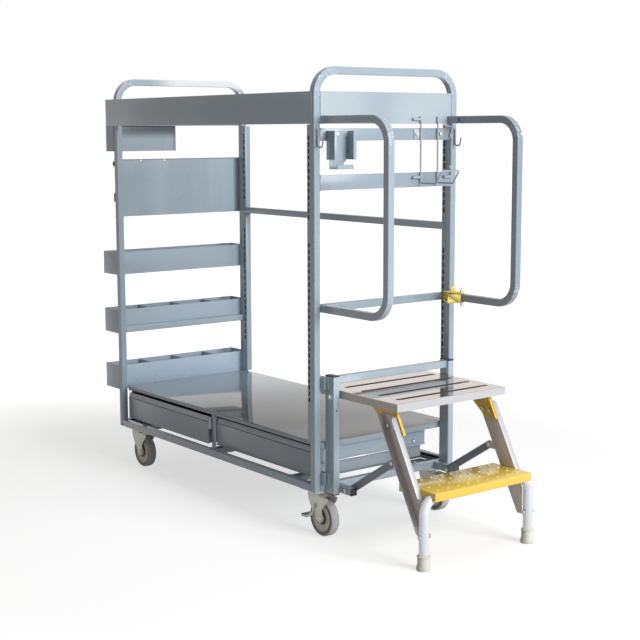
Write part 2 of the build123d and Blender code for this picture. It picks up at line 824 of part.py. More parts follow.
def gusset_bolt_spots():
    z = leg_top - gusset_bolt_drop
    x = leg_back_x(z) + gusset_bolt_edge
    return [(x, z), (x + gusset_bolt_pitch, z)]


def ladder_leg():
    # Raked channel, open outwards, with a lug for the brace behind it and notched round the foot tube
    flange_y = step_inset - leg_flange
    leg = flat_pattern(leg_outline(0.0), leg_flange, flange_y)
    leg -= flat_pattern(leg_outline(leg_sheet), leg_flange - leg_sheet, flange_y)
    x0 = leg_back_x(leg_cut)
    x1 = leg_back_x(leg_cut - leg_corner) + leg_span
    y = flange_y + leg_corner
    z = leg_cut - leg_corner
    leg -= block(x0, x1, flange_y, y, z, leg_cut) - rod((x0, y, z), (x1, y, z), 2 * leg_corner)
    reach = foot_tube_diameter / 2 + foot_notch_gap
    notch = block(foot_x - reach, foot_x + reach, 0, leg_web_y, 0, foot_tube_z + reach)
    half = brace_width / 2
    x = end_x + brace_top_x
    low = brace_top_z - half
    high = brace_top_z + half
    lug = [(x - half, low), (leg_back_x(low) + leg_sheet, low), (leg_back_x(high) + leg_sheet, high), (x - half, high)]
    leg = leg - notch + flat_pattern(lug, leg_sheet, leg_web_y)
    holes = gusset_bolt_spots() + [(x, brace_top_z), (foot_x, foot_bolt_z)]
    return leg - [rod_y(hx, hz, leg_web_y, step_inset, bolt_shank) for hx, hz in holes]


def leg_gusset():
    # Folded plate inside the leg's web, turned in under the platform
    x0 = end_x + gusset_back
    x1 = end_x + gusset_front
    z0 = leg_top - gusset_height
    outline = [(x0, leg_top), (leg_back_x(z0), z0), (leg_back_x(z0) + leg_span, z0), (x1, leg_top)]
    gusset = flat_pattern(outline, gusset_sheet, step_inset)
    gusset += block(x0, x1, step_inset, step_inset + gusset_flange, leg_top - gusset_sheet, leg_top)
    y1 = step_inset + gusset_sheet
    return gusset - [rod_y(x, z, step_inset, y1, bolt_shank) for x, z in gusset_bolt_spots()]


def step():
    # Tread tray with deep lips front and back and short ends between the legs
    x0 = end_x + step_back
    x1 = end_x + step_front
    y1 = far_y - step_inset
    z0 = step_top - step_lip
    tread = block(x0, x1, step_inset, y1, step_top - thick_sheet, step_top)
    back_lip = block(x0, x0 + thick_sheet, step_inset, y1, z0, step_top)
    front_lip = block(x1 - thick_sheet, x1, step_inset, y1, z0, step_top)
    end = block(x0, foot_x - foot_tube_diameter, step_inset, step_inset + thick_sheet, z0, step_top)
    return tread + back_lip + front_lip + end + mirrored(end)


def foot_tube():
    # Round tube bent as an upside-down U under the step, its two ends in the boots
    y0 = foot_tube_inset
    y1 = far_y - foot_tube_inset
    points = [(foot_x, y0, boot_sole), (foot_x, y0, foot_tube_z), (foot_x, y1, foot_tube_z), (foot_x, y1, boot_sole)]
    outer = bent_wire(points, foot_tube_bend, foot_tube_diameter)
    inner = bent_wire(points, foot_tube_bend, foot_tube_diameter - 2 * foot_tube_wall)
    return outer - inner - rod_y(foot_x, foot_bolt_z, 0, far_y, bolt_shank)


def foot_boot():
    # Rubber boot: flared base, tapered sleeve and a socket for the tube
    base = boot_base_diameter / 2
    sleeve = boot_diameter / 2
    bore = foot_tube_diameter / 2
    profile = [(0, 0), (base - boot_edge, 0), (base, boot_edge), (base, boot_flare), (sleeve, 2 * boot_flare),
               (sleeve, boot_height - boot_edge), (sleeve - boot_edge, boot_height), (bore, boot_height),
               (bore, boot_sole), (0, boot_sole)]
    face = make_face(Plane.XZ * Polyline(*profile, close=True))
    return Pos(foot_x, foot_tube_inset, 0) * revolve(face, Axis.Z)


def ladder_brace():
    # Flat bar with rounded ends from the arm up to the leg's lug
    x0 = end_x + arm_pivot
    z0 = base_bottom + tube / 2
    run = Vector(end_x + brace_top_x - x0, 0, brace_top_z - z0)
    plane = Plane(origin=(x0, arm_inner_y, z0), x_dir=run, z_dir=(0, -1, 0))
    bar = Pos(run.length / 2, 0) * SlotCenterToCenter(run.length, brace_width)
    bar -= [Circle(bolt_shank / 2), Pos(run.length, 0) * Circle(bolt_shank / 2)]
    return extrude(plane * bar, -brace_thickness)


def bolts():
    # Platform, brace, foot and gusset bolts on both sides, then the screws of the end fittings and the cabinet
    brace_y = arm_inner_y + brace_thickness
    tube_y = foot_tube_inset - foot_tube_diameter / 2
    near = [
        bolt_y(end_x + platform_pivot_x, platform_pivot_z, post_offset, platform_inset + thick_sheet, washer=True),
        bolt_y(end_x + arm_pivot, base_bottom + tube / 2, post_inner_y, brace_y),
        bolt_y(end_x + brace_top_x, brace_top_z, arm_inner_y, step_inset),
        bolt_y(foot_x, foot_bolt_z, tube_y, step_inset),
    ]
    near += [bolt_y(x, z, leg_web_y, step_inset + gusset_sheet) for x, z in gusset_bolt_spots()]
    group = []
    for bolt in near:
        group += both_sides(bolt)
    holder_y = tube + holder_offset + holder_width / 2
    holder_z = holder_bottom + holder_height - holder_bolt_drop
    group.append(hexagon((end_x + thick_sheet, holder_y, holder_z), (1, 0, 0), bolt_head, bolt_head_height))
    rack_y = far_y - rack_far_inset - rack_width
    rack_z = upper_strap_bottom + upper_strap_height / 2
    for y in (rack_y - rack_tab_width / 2, rack_y + rack_width + rack_tab_width / 2):
        group.append(hexagon((end_x + strap_thickness, y, rack_z), (1, 0, 0), bolt_head, bolt_head_height))
    wall_spot = (cabinet_right, cabinet_back - cabinet_bolt_back, cabinet_bottom + cabinet_bolt_rise)
    group.append(hexagon(wall_spot, (1, 0, 0), bolt_head, bolt_head_height))
    return group


# Casters, drawn with the swivel axis at x = y = 0

caster_spots = {
    "front_left": (caster_inset, caster_inset),
    "front_right": (cart_length - caster_inset, caster_inset),
    "rear_left": (caster_inset, cart_width - caster_inset),
    "rear_right": (cart_length - caster_inset, cart_width - caster_inset),
}
fork_inner = wheel_width / 2 + fork_gap
fork_outer = fork_inner + fork_thickness
raceway_top = caster_height - caster_plate - running_gap
crown_top = raceway_top - raceway_height


def caster_plates():
    # Welded corner pad and bolted top plate of each caster
    pad = Box(caster_plate_x + 2 * pad_margin, caster_plate_y + 2 * pad_margin, caster_pad)
    plate = Box(caster_plate_x, caster_plate_y, caster_plate)
    pieces = []
    for x, y in caster_spots.values():
        pieces.append(Pos(x, y, base_bottom - caster_pad / 2) * pad)
        pieces.append(Pos(x, y, caster_height - caster_plate / 2) * plate)
    return pieces


def fork(braked):
    # Swivel head, crown and two tapered legs, with the axle bolt through their ends
    head = disc(0, 0, crown_top, raceway_top, raceway_diameter)
    head = chamfer(head.edges().group_by(Axis.Z)[0], raceway_chamfer)
    half = raceway_diameter / 2 - raceway_chamfer
    crown = block(-half, half, -fork_outer, fork_outer, crown_top - fork_thickness, crown_top)
    eye = Pos(caster_trail, axle_z) * Circle(fork_eye)
    shoulder = Pos(0, crown_top - fork_thickness / 2) * Rectangle(2 * half, fork_thickness)
    plane = Plane(origin=(0, -fork_inner, 0), x_dir=(1, 0, 0), z_dir=(0, -1, 0))
    leg = extrude(plane * make_hull(eye.edges() + shoulder.edges()), fork_thickness)
    body = head + crown + leg + mirror(leg, about=Plane.XZ)
    if braked:
        bore = pedal_pivot_diameter + 2 * axle_clearance
        body -= rod_y(pedal_pivot_x, pedal_pivot_z, -fork_outer, fork_outer, bore)
    axle = rod_y(caster_trail, axle_z, -fork_outer, fork_outer, axle_diameter)
    for way in (-1, 1):
        end = (caster_trail, way * fork_outer, axle_z)
        axle += hexagon(end, (0, way, 0), 1.7 * axle_diameter, axle_nut_height)
    return body + axle


def wheel_hub():
    # Moulded wheel centre on the axle: barrel, thin web and rim
    bore = axle_diameter / 2 + axle_clearance
    half = wheel_width / 2
    barrel = hub_barrel / 2
    rim = hub_diameter / 2
    web = hub_web / 2
    side = [(bore, half + hub_stand_out), (barrel - 1, half + hub_stand_out), (barrel, web), (rim - hub_rim, web),
            (rim - hub_rim / 2, half - hub_stand_out), (rim, half - hub_stand_out)]
    profile = side + [(r, -y) for r, y in reversed(side)]
    face = make_face(Plane.XZ * Polyline(*profile, close=True))
    return Pos(caster_trail, 0, axle_z) * Rot(90, 0, 0) * revolve(face, Axis.Z)


def wheel_tyre():
    # Solid tread ring with rounded shoulders
    solid = Cylinder(wheel_diameter / 2, wheel_width)
    solid = fillet(solid.edges().filter_by(GeomType.CIRCLE), tyre_shoulder)
    ring = solid - Cylinder(hub_diameter / 2, wheel_width)
    return Pos(caster_trail, 0, axle_z) * Rot(90, 0, 0) * ring


def brake_pedal():
    # Stamped lever that straddles the wheel, its pad low behind the tread
    inner = fork_outer + running_gap
    outer = inner + pedal_thickness
    half = pedal_arm / 2
    x = pedal_pivot_x
    z = pedal_pivot_z
    pad_x = caster_trail - wheel_diameter / 2 - pedal_tyre_gap
    pad_top = pedal_pad_z + pedal_thickness
    outline = [(x + half, z - half), (x + half, z + half), (x - half, z + half), (pad_x - half, pad_top + half),
               (-pedal_reach, pad_top + half / 2), (-pedal_reach, pedal_pad_z), (pad_x, pedal_pad_z)]
    arm = flat_pattern(outline, pedal_thickness, inner)
    arm += rod_y(x, z, fork_inner + running_gap, outer + pedal_thickness, pedal_pivot_diameter)
    pad = block(-pedal_reach, pad_x, -outer, outer, pedal_pad_z, pad_top)
    return arm + mirror(arm, about=Plane.XZ) + pad


nodes = {
    "left_hoop": hoop(0),
    "right_hoop": hoop(end_x - tube),
    "base_frame": base_frame(),
    "knee_bar": knee_bar(),
    "cross_tubes": cross_tubes(),
    "slotted_standards": slotted_standards(),
    "drawer_cabinet": drawer_cabinet(),
    "centre_stile": centre_stile(),
    "slides_outer": slides_outer(),
    "deck_panel": deck_panel(),
    "front_fascia": front_fascia(),
    "end_panels": end_panels(),
    "end_straps": end_straps(),
    "bin_upper": storage_bin(bin_upper_bottom, bin_upper_height),
    "bin_middle": storage_bin(bin_middle_bottom, bin_middle_height),
    "bin_lower": storage_bin(bin_lower_bottom, bin_lower_height),
    "bin_dividers": bin_dividers(),
    "document_box": document_box(),
    "back_board": back_board(),
    "board_clips": board_clips(),
    "scanner_holder": scanner_holder(),
    "wire_rack": wire_rack(),
    "j_hooks": both_sides(j_hook()),
    "front_handrail": handrail(front_rail_inset, end_x),
    "rear_handrail": rear_handrail(),
    "rail_clevis": rail_clevis(),
    "rail_stub": rail_stub(),
    "rail_pins": rail_pins(),
    "ladder_posts": both_sides(ladder_post()),
    "ladder_cross_bar": ladder_cross_bar(),
    "ladder_arms": both_sides(ladder_arm()),
    "end_caps": end_caps(),
    "post_spacers": post_spacers(),
    "platform": platform(),
    "ladder_legs": both_sides(ladder_leg()),
    "leg_gussets": both_sides(leg_gusset()),
    "step": step(),
    "foot_tube": foot_tube(),
    "foot_boots": both_sides(foot_boot()),
    "ladder_braces": both_sides(ladder_brace()),
    "bolts": bolts(),
    "caster_plates": caster_plates(),
}
for side, bay in drawer_bays.items():
    nodes["drawer_" + side] = drawer(bay)
    nodes["slides_inner_" + side] = slides_inner(bay)
for spot, (x, y) in caster_spots.items():
    seat = Pos(x, y, 0)
    braked = spot.endswith("right")
    nodes["fork_" + spot] = seat * fork(braked)
    nodes["hub_" + spot] = seat * wheel_hub()
    nodes["tyre_" + spot] = seat * wheel_tyre()
    if braked:
        nodes["pedal_" + spot] = seat * brake_pedal()

os.makedirs("parts", exist_ok=True)
for name, shape in nodes.items():
    solids = shape if isinstance(shape, list) else [shape]
    placed = [place(solid) for solid in solids]
    export_step(placed[0] if len(placed) == 1 else Compound(children=placed), f"parts/{name}.step")
print(len(nodes), "nodes")
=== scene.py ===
import json
import math
import bmesh
import bpy
from mathutils import Matrix, Vector


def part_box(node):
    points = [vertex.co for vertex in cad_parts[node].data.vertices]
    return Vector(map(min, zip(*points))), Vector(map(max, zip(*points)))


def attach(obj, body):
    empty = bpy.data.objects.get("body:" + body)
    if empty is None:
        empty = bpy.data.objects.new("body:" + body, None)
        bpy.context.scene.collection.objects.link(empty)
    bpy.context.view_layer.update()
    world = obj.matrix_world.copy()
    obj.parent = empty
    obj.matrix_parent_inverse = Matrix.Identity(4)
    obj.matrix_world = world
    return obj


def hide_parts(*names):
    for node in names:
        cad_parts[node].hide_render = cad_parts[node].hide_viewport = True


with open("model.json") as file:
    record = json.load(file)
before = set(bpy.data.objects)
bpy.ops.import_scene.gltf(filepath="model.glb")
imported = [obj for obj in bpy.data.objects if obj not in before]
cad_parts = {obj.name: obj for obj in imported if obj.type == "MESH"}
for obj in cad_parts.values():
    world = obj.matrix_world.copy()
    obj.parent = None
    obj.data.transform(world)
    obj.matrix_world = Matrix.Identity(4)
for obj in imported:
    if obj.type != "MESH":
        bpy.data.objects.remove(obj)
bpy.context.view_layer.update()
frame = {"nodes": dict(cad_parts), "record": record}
scene = bpy.context.scene
scene.view_settings.view_transform = "Standard"
mm = 0.001
nodes = frame["nodes"]
nodeSlots = {part["node"]: part["material_slot"] for part in frame["record"]["subparts"]}
corners = ("front_left", "front_right", "rear_left", "rear_right")
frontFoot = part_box("left_hoop")[0]  # outer front corner of the bin end
cartLong = (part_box("right_hoop")[1].x - frontFoot.x) / mm
tubeSide, cartWide = ((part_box("left_hoop")[1] - frontFoot) / mm)[:2]
print("frame loaded:", len(nodes), "nodes, cart", round(cartLong), "x", round(cartWide))


def at(x, y, z):
    # millimetres from the front corner of the bin end, at floor level
    return Vector((frontFoot.x + x * mm, frontFoot.y + y * mm, z * mm))


def fromFoot(spot):
    return (spot.x - frontFoot.x) / mm, (spot.y - frontFoot.y) / mm


def middle(node):
    low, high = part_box(node)
    return (low + high) / 2


def rect(a0, a1, b0, b1):
    return [(a0, b0), (a1, b0), (a1, b1), (a0, b1)]


def arc(a, b, radiusA, radiusB, start, stop, steps):
    # points along part of an ellipse, from start to stop in half turns
    turns = [math.pi * (start + (stop - start) * i / steps) for i in range(steps + 1)]
    return [(a + radiusA * math.cos(t), b + radiusB * math.sin(t)) for t in turns]


def addObject(name, data):
    obj = bpy.data.objects.new(name, data)
    scene.collection.objects.link(obj)
    return obj


# camera, at the photograph's place

view = {"place": (3.8376, -2.8941, 1.343), "turn": 52.97, "dip": 7.79, "roll": -0.21,
        "lens": 74.66, "shiftX": 0.0249, "shiftY": -0.0123}


def placeCamera():
    turn = math.radians(view["turn"])
    dip = math.radians(view["dip"])
    look = Vector((-math.sin(turn) * math.cos(dip), math.cos(turn) * math.cos(dip), -math.sin(dip)))
    data = bpy.data.cameras.new("viewCamera")
    data.lens = view["lens"]
    data.sensor_width = 36.0
    data.shift_x = view["shiftX"]
    data.shift_y = view["shiftY"]
    data.clip_end = 100.0
    camera = addObject("viewCamera", data)
    aim = look.to_track_quat("-Z", "Y").to_matrix().to_4x4()
    roll = Matrix.Rotation(math.radians(view["roll"]), 4, "Z")
    camera.matrix_world = Matrix.Translation(view["place"]) @ aim @ roll
    scene.camera = camera


placeCamera()


# shader helpers, for a material or the world

def startFinish(name, rough=0.5, metal=0.0, specular=0.5):
    mat = bpy.data.materials.new(name)
    mat.use_nodes = True
    socket(mat, "Roughness").default_value = rough
    socket(mat, "Metallic").default_value = metal
    socket(mat, "Specular IOR Level").default_value = specular
    return mat


def addNode(mat, kind):
    return mat.node_tree.nodes.new(kind)


def wire(mat, source, target):
    mat.node_tree.links.new(source, target)


def socket(mat, name):
    return mat.node_tree.nodes["Principled BSDF"].inputs[name]


def grain(mat, scale, detail=3.0, stretch=(1, 1, 1)):
    # noise on the piece's own coordinates, drawn out along an axis by a small stretch value
    coord = addNode(mat, "ShaderNodeTexCoord")
    mapping = addNode(mat, "ShaderNodeMapping")
    mapping.inputs["Scale"].default_value = stretch
    noise = addNode(mat, "ShaderNodeTexNoise")
    noise.inputs["Scale"].default_value = scale
    noise.inputs["Detail"].default_value = detail
    wire(mat, coord.outputs["Object"], mapping.inputs["Vector"])
    wire(mat, mapping.outputs["Vector"], noise.inputs["Vector"])
    return noise.outputs["Fac"]


def ease(mat, value, low, high, outLow=0.0, outHigh=1.0, soft=False):
    step = addNode(mat, "ShaderNodeMapRange")
    if soft:
        step.interpolation_type = "SMOOTHSTEP"
    for name, number in (("From Min", low), ("From Max", high), ("To Min", outLow), ("To Max", outHigh)):
        step.inputs[name].default_value = number
    wire(mat, value, step.inputs["Value"])
    return step.outputs["Result"]


def combine(mat, kind, a, b):
    node = addNode(mat, "ShaderNodeMath")
    node.operation = kind
    wire(mat, a, node.inputs[0])
    wire(mat, b, node.inputs[1])
    return node.outputs[0]


def tint(mat, amount, first, second):
    # first and second are colours, or sockets that carry one
    mix = addNode(mat, "ShaderNodeMix")
    mix.data_type = "RGBA"
    wire(mat, amount, mix.inputs[0])
    for source, target in ((first, mix.inputs[6]), (second, mix.inputs[7])):
        if isinstance(source, tuple):
            target.default_value = (*source, 1)
        else:
            wire(mat, source, target)
    return mix.outputs[2]


def relief(mat, height, strength, depth):
    bump = addNode(mat, "ShaderNodeBump")
    bump.inputs["Strength"].default_value = strength
    bump.inputs["Distance"].default_value = depth
    wire(mat, height, bump.inputs["Height"])
    wire(mat, bump.outputs["Normal"], socket(mat, "Normal"))


def nearSpots(mat, spots, radius):
    # 1 at each spot, fading out at the radius
    coord = addNode(mat, "ShaderNodeTexCoord")
    near = None
    for spot in spots:
        gap = addNode(mat, "ShaderNodeVectorMath")
        gap.operation = "DISTANCE"
        gap.inputs[1].default_value = spot
        wire(mat, coord.outputs["Object"], gap.inputs[0])
        value = ease(mat, gap.outputs["Value"], radius * 0.25, radius, 1.0, 0.0, soft=True)
        near = combine(mat, "MAXIMUM", near, value) if near else value
    return near


def axisFade(mat, axis, low, high, source="Object"):
    # 0 at low, 1 at high, along one of the piece's own axes
    coord = addNode(mat, "ShaderNodeTexCoord")
    split = addNode(mat, "ShaderNodeSeparateXYZ")
    wire(mat, coord.outputs[source], split.inputs[0])
    return ease(mat, split.outputs[axis], low, high, soft=True)


def footFade(mat, axis, low, high):
    # the same in millimetres from the front foot
    i = "XYZ".index(axis)
    return axisFade(mat, axis, at(low, low, low)[i], at(high, high, high)[i])


def litLadderSide(mat):
    # 1 where the surface faces the ladder's end; those faces get a lighter tone with it: painted light
    return axisFade(mat, "X", 0.45, 0.65, "Normal")


# studio: pale floor, soft key from the ladder side, even fill

studio = {"fill": (0.194, 0.182, 0.171), "floor": 0.57, "floorReach": 30.0, "glow": (0.62, 1.0),
          "glowReach": (1.3, 3.2), "aim": (0, 0, 0.7)}
lamps = {"keyLamp": {"place": (7.4, 1.2, 3.0), "size": 4.0, "power": 560.0, "color": (0.95, 0.985, 1.0)},
         "topLamp": {"place": (0.6, 0.4, 5.2), "size": 3.4, "power": 48.0, "color": (1, 1, 1)}}


def seenRay(mat):
    # 1 where the eye meets the surface, straight, in a reflection or through glass
    path = addNode(mat, "ShaderNodeLightPath")
    seen = path.outputs["Is Camera Ray"]
    for name in ("Is Glossy Ray", "Is Transmission Ray"):
        seen = combine(mat, "MAXIMUM", seen, path.outputs[name])
    return seen


def lightStudio():
    world = bpy.data.worlds.new("studioAir")
    scene.world = world
    world.use_nodes = True
    world.node_tree.nodes.clear()
    blend = addNode(world, "ShaderNodeMixShader")
    wire(world, seenRay(world), blend.inputs[0])
    for i, color in ((1, studio["fill"]), (2, (1, 1, 1))):  # the light on the cart, and the white behind it
        air = addNode(world, "ShaderNodeBackground")
        air.inputs["Color"].default_value = (*color, 1)
        wire(world, air.outputs[0], blend.inputs[i])
    out = addNode(world, "ShaderNodeOutputWorld")
    wire(world, blend.outputs[0], out.inputs["Surface"])
    for name, lamp in lamps.items():
        data = bpy.data.lights.new(name, "AREA")
        data.shape = "SQUARE"
        data.size = lamp["size"]
        data.energy = lamp["power"]
        data.color = lamp["color"]
        holder = addObject(name, data)
        holder.location = lamp["place"]
        holder.rotation_euler = (Vector(studio["aim"]) - holder.location).to_track_quat("-Z", "Y").to_euler()


def layFloor():
    reach = studio["floorReach"]
    mesh = bpy.data.meshes.new("studioFloor")
    mesh.from_pydata([(x, y, 0) for x, y in rect(-reach, reach, -reach, reach)], [], [(0, 1, 2, 3)])
    floor = addObject("studioFloor", mesh)
    mat = startFinish("studioFloor", rough=0.9, specular=0.0)
    socket(mat, "Base Color").default_value = (studio["floor"],) * 3 + (1,)
    socket(mat, "Emission Color").default_value = (1, 1, 1, 1)
    coord = addNode(mat, "ShaderNodeTexCoord")
    away = addNode(mat, "ShaderNodeVectorMath")
    away.operation = "LENGTH"
    wire(mat, coord.outputs["Object"], away.inputs[0])
    glow = ease(mat, away.outputs["Value"], *studio["glowReach"], *studio["glow"], soft=True)
    wire(mat, combine(mat, "MULTIPLY", seenRay(mat), glow), socket(mat, "Emission Strength"))
    mesh.materials.append(mat)


lightStudio()
layFloor()
print("studio and camera set")


# finishes

paintLooks = {  # tone, shade, range of roughness
    # drawerPaint, kneePaint, strapPaint, rearRail and bracePaint are darker copies of the one blue-grey
    # paint: painted shade; ladderPaint and lowBinPaint are lighter copies of it: painted light
    "framePaint": ((0.375, 0.448, 0.512), (0.358, 0.43, 0.493), (0.2, 0.27)),
    "panelPaint": ((0.365, 0.437, 0.5), (0.345, 0.415, 0.477), (0.24, 0.33)),
    "binPaint": ((0.435, 0.515, 0.6), (0.41, 0.49, 0.572), (0.24, 0.33)),
    "drawerPaint": ((0.303, 0.341, 0.385), (0.288, 0.325, 0.368), (0.25, 0.34)),
    "ladderPaint": ((0.435, 0.515, 0.585), (0.415, 0.492, 0.56), (0.2, 0.27)),
    "kneePaint": ((0.287, 0.362, 0.414), (0.273, 0.345, 0.395), (0.22, 0.3)),
    "strapPaint": ((0.322, 0.388, 0.45), (0.306, 0.369, 0.429), (0.22, 0.3)),
    "rearRail": ((0.292, 0.335, 0.387), (0.279, 0.32, 0.369), (0.22, 0.3)),
    "darkPaint": ((0.3, 0.335, 0.375), (0.275, 0.308, 0.346), (0.28, 0.38)),
    "bracePaint": ((0.235, 0.265, 0.3), (0.21, 0.238, 0.27), (0.3, 0.4)),
    "yellowPaint": ((0.86, 0.59, 0.095), (0.81, 0.54, 0.07), (0.13, 0.22)),
    "lowBinPaint": ((0.5, 0.595, 0.705), (0.475, 0.568, 0.675), (0.24, 0.33)),
    "wirePaint": ((0.43, 0.475, 0.52), (0.38, 0.42, 0.46), (0.26, 0.36)),
    # clevisYellow and dimpleYellow are lighter copies of the step's yellow: painted light on the bracket's
    # face and painted highlights on the dimples
    "clevisYellow": ((0.98, 0.79, 0.26), (0.95, 0.755, 0.23), (0.34, 0.44)),
    "dimpleYellow": ((0.95, 0.76, 0.3), (0.9, 0.69, 0.22), (0.16, 0.26)),
}
highlightTone = (0.78, 0.82, 0.86)


def makePaint(name, title=None, highlightSpots=(), highlightRadius=0.05, patches=()):
    # smooth coat: wide soft tone changes, fine orange peel, pale painted highlights near the given spots
    tone, shade, rough = paintLooks[name]
    mat = startFinish(title or name)
    cloud = ease(mat, grain(mat, 1.3, 1.0, (1, 1, 0.45)), 0.25, 0.75, soft=True)
    color = tint(mat, cloud, shade, tone)
    for amount, patch in patches:
        color = tint(mat, amount(mat), color, patch)
    if highlightSpots:
        marks = ease(mat, grain(mat, 85.0, 5.0, (1, 1, 2.2)), 0.54, 0.66, 0.0, 0.75)
        near = nearSpots(mat, highlightSpots, highlightRadius)
        color = tint(mat, combine(mat, "MULTIPLY", near, marks), color, highlightTone)
    wire(mat, color, socket(mat, "Base Color"))
    wire(mat, ease(mat, grain(mat, 4.0, 2.0), 0.3, 0.7, *rough, soft=True), socket(mat, "Roughness"))
    relief(mat, grain(mat, 640.0, 2.0), 0.05, 0.0002)
    return mat


def paintedBarSheen(mat):
    # top bar of the bin-end hoop, painted lighter from its middle to the far end: painted highlight
    return combine(mat, "MULTIPLY", footFade(mat, "Z", 1500, 1526), footFade(mat, "Y", 150, 290))


def drawerLipLight(mat):
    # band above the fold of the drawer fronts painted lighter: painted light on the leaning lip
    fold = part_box("drawer_left")[1].z / mm - 20
    return footFade(mat, "Z", fold - 1, fold + 1)


def boardStreaks(mat):
    return ease(mat, grain(mat, 9.0, 2.0, (0.1, 1.0, 0.05)), 0.38, 0.7, 0.0, 0.8, soft=True)


def boardEdgeShade(mat):
    # painted shade along the fold at the board's top and down its far end
    return combine(mat, "MAXIMUM", footFade(mat, "Z", 1227, 1230), footFade(mat, "Y", 562, 582))


def fasciaCloud(mat):
    return ease(mat, nearSpots(mat, [at(294, -2, 1390), at(380, -2, 1385)], 0.19), 0.0, 1.0, 0.0, 0.75)


def boxTopShade(mat):
    # painted shade under the fascia, darker towards the top of the box
    return footFade(mat, "Z", 1306, 1350)


def boxEndShade(mat):
    # painted shade at the box's folded far end, darker towards it
    return footFade(mat, "Y", 264, 285)


def endPanelHighlight(mat):
    # paler patches near two spots on the ladder-end panels: painted highlight
    return nearSpots(mat, [at(cartLong, 60, 1420), at(cartLong, 470, 1390)], 0.22)


metalLooks = {
    "legMetal": {
        "tone": (0.57, 0.51, 0.47), "shade": (0.51, 0.455, 0.42), "rough": (0.34, 0.46),
        "metal": 0.12, "stretch": (60, 60, 1), "grain": 14.0, "relief": 0.04,
        "front": (0.54, 0.54, 0.57)},
    "tubeMetal": {
        "tone": (0.78, 0.798, 0.828), "shade": (0.74, 0.757, 0.786), "rough": (0.22, 0.3),
        "metal": 0.35, "stretch": (2, 2, 1), "grain": 5.0, "relief": 0.01},
    "forkZinc": {
        "tone": (0.66, 0.67, 0.61), "shade": (0.58, 0.585, 0.53), "rough": (0.3, 0.44),
        "metal": 0.35, "stretch": (3, 3, 3), "grain": 14.0, "relief": 0.04},
    "zincPlate": {
        "tone": (0.6, 0.61, 0.57), "shade": (0.5, 0.51, 0.47), "rough": (0.26, 0.4),
        "metal": 0.55, "stretch": (3, 3, 3), "grain": 14.0, "relief": 0.05},
}


def makeMetal(name):
    look = metalLooks[name]
    mat = startFinish(name, metal=look["metal"])
    streak = grain(mat, look["grain"], 4.0, look["stretch"])
    cloud = ease(mat, grain(mat, 4.0, 2.0), 0.3, 0.6, 0.6, 1.0)
    blend = combine(mat, "MULTIPLY", ease(mat, streak, 0.3, 0.7), cloud)
    color = tint(mat, blend, look["shade"], look["tone"])
    # faces towards the ladder's end take the lighter front tone: painted light
    if "front" in look:
        color = tint(mat, litLadderSide(mat), color, look["front"])
    wire(mat, color, socket(mat, "Base Color"))
    wire(mat, ease(mat, streak, 0.3, 0.7, look["rough"][1], look["rough"][0]), socket(mat, "Roughness"))
    relief(mat, streak, look["relief"], 0.0003)
    return mat


mouldLooks = {  # tone, shade, range of roughness, scale of the pebbling
    "capBlack": ((0.045, 0.047, 0.05), (0.022, 0.023, 0.025), (0.38, 0.6), 420),
    "bootRubber": ((0.76, 0.74, 0.66), (0.69, 0.67, 0.59), (0.55, 0.78), 260),
    "hubCream": ((0.93, 0.85, 0.74), (0.89, 0.8, 0.69), (0.35, 0.55), 300),
    "treadGrey": ((0.64, 0.63, 0.63), (0.57, 0.56, 0.56), (0.5, 0.75), 340),
    "stripWhite": ((0.93, 0.94, 0.95), (0.88, 0.89, 0.9), (0.35, 0.5), 300),
    "clipGrey": ((0.15, 0.153, 0.158), (0.11, 0.112, 0.116), (0.4, 0.6), 420),
    "bandDark": ((0.085, 0.08, 0.075), (0.045, 0.042, 0.04), (0.45, 0.65), 340),
    "slotDark": ((0.05, 0.043, 0.038), (0.03, 0.026, 0.023), (0.55, 0.75), 300),
}


def makeMould(name):
    tone, shade, rough, pebble = mouldLooks[name]
    mat = startFinish(name, specular=0.4)
    dirt = ease(mat, grain(mat, 26.0, 5.0), 0.35, 0.62)
    wire(mat, tint(mat, dirt, shade, tone), socket(mat, "Base Color"))
    wire(mat, ease(mat, grain(mat, 30.0, 3.0), 0.3, 0.7, *rough), socket(mat, "Roughness"))
    relief(mat, grain(mat, pebble, 2.0), 0.22, 0.0004)
    return mat


toppedLooks = {
    "deckGloss": {
        "node": "deck_panel", "lip": 2.5, "tone": (0.15, 0.146, 0.141), "shade": (0.128, 0.124, 0.12),
        "rough": (0.045, 0.085), "metal": 0.0, "specular": 0.26, "relief": 0.015, "stretch": (0.5, 1, 1),
        "sideTone": (0.365, 0.437, 0.5), "sideRough": 0.28, "sideMetal": 0.0,
        "reflectionZones": [((700, 60), (0.365, 0.425, 0.498)), ((1000, 1240), (0.33, 0.325, 0.318))]},
    "platformMetal": {
        "node": "platform", "lip": 2.0, "tone": (0.58, 0.497, 0.437), "shade": (0.555, 0.475, 0.418),
        "rough": (0.07, 0.1), "metal": 0.92, "specular": 0.5, "relief": 0.0, "stretch": (1, 0.3, 1),
        "sideTone": (0.49, 0.44, 0.41), "sideRough": 0.34, "sideMetal": 0.1, "reflectionZones": [],
        "front": (0.53, 0.535, 0.56)},
}


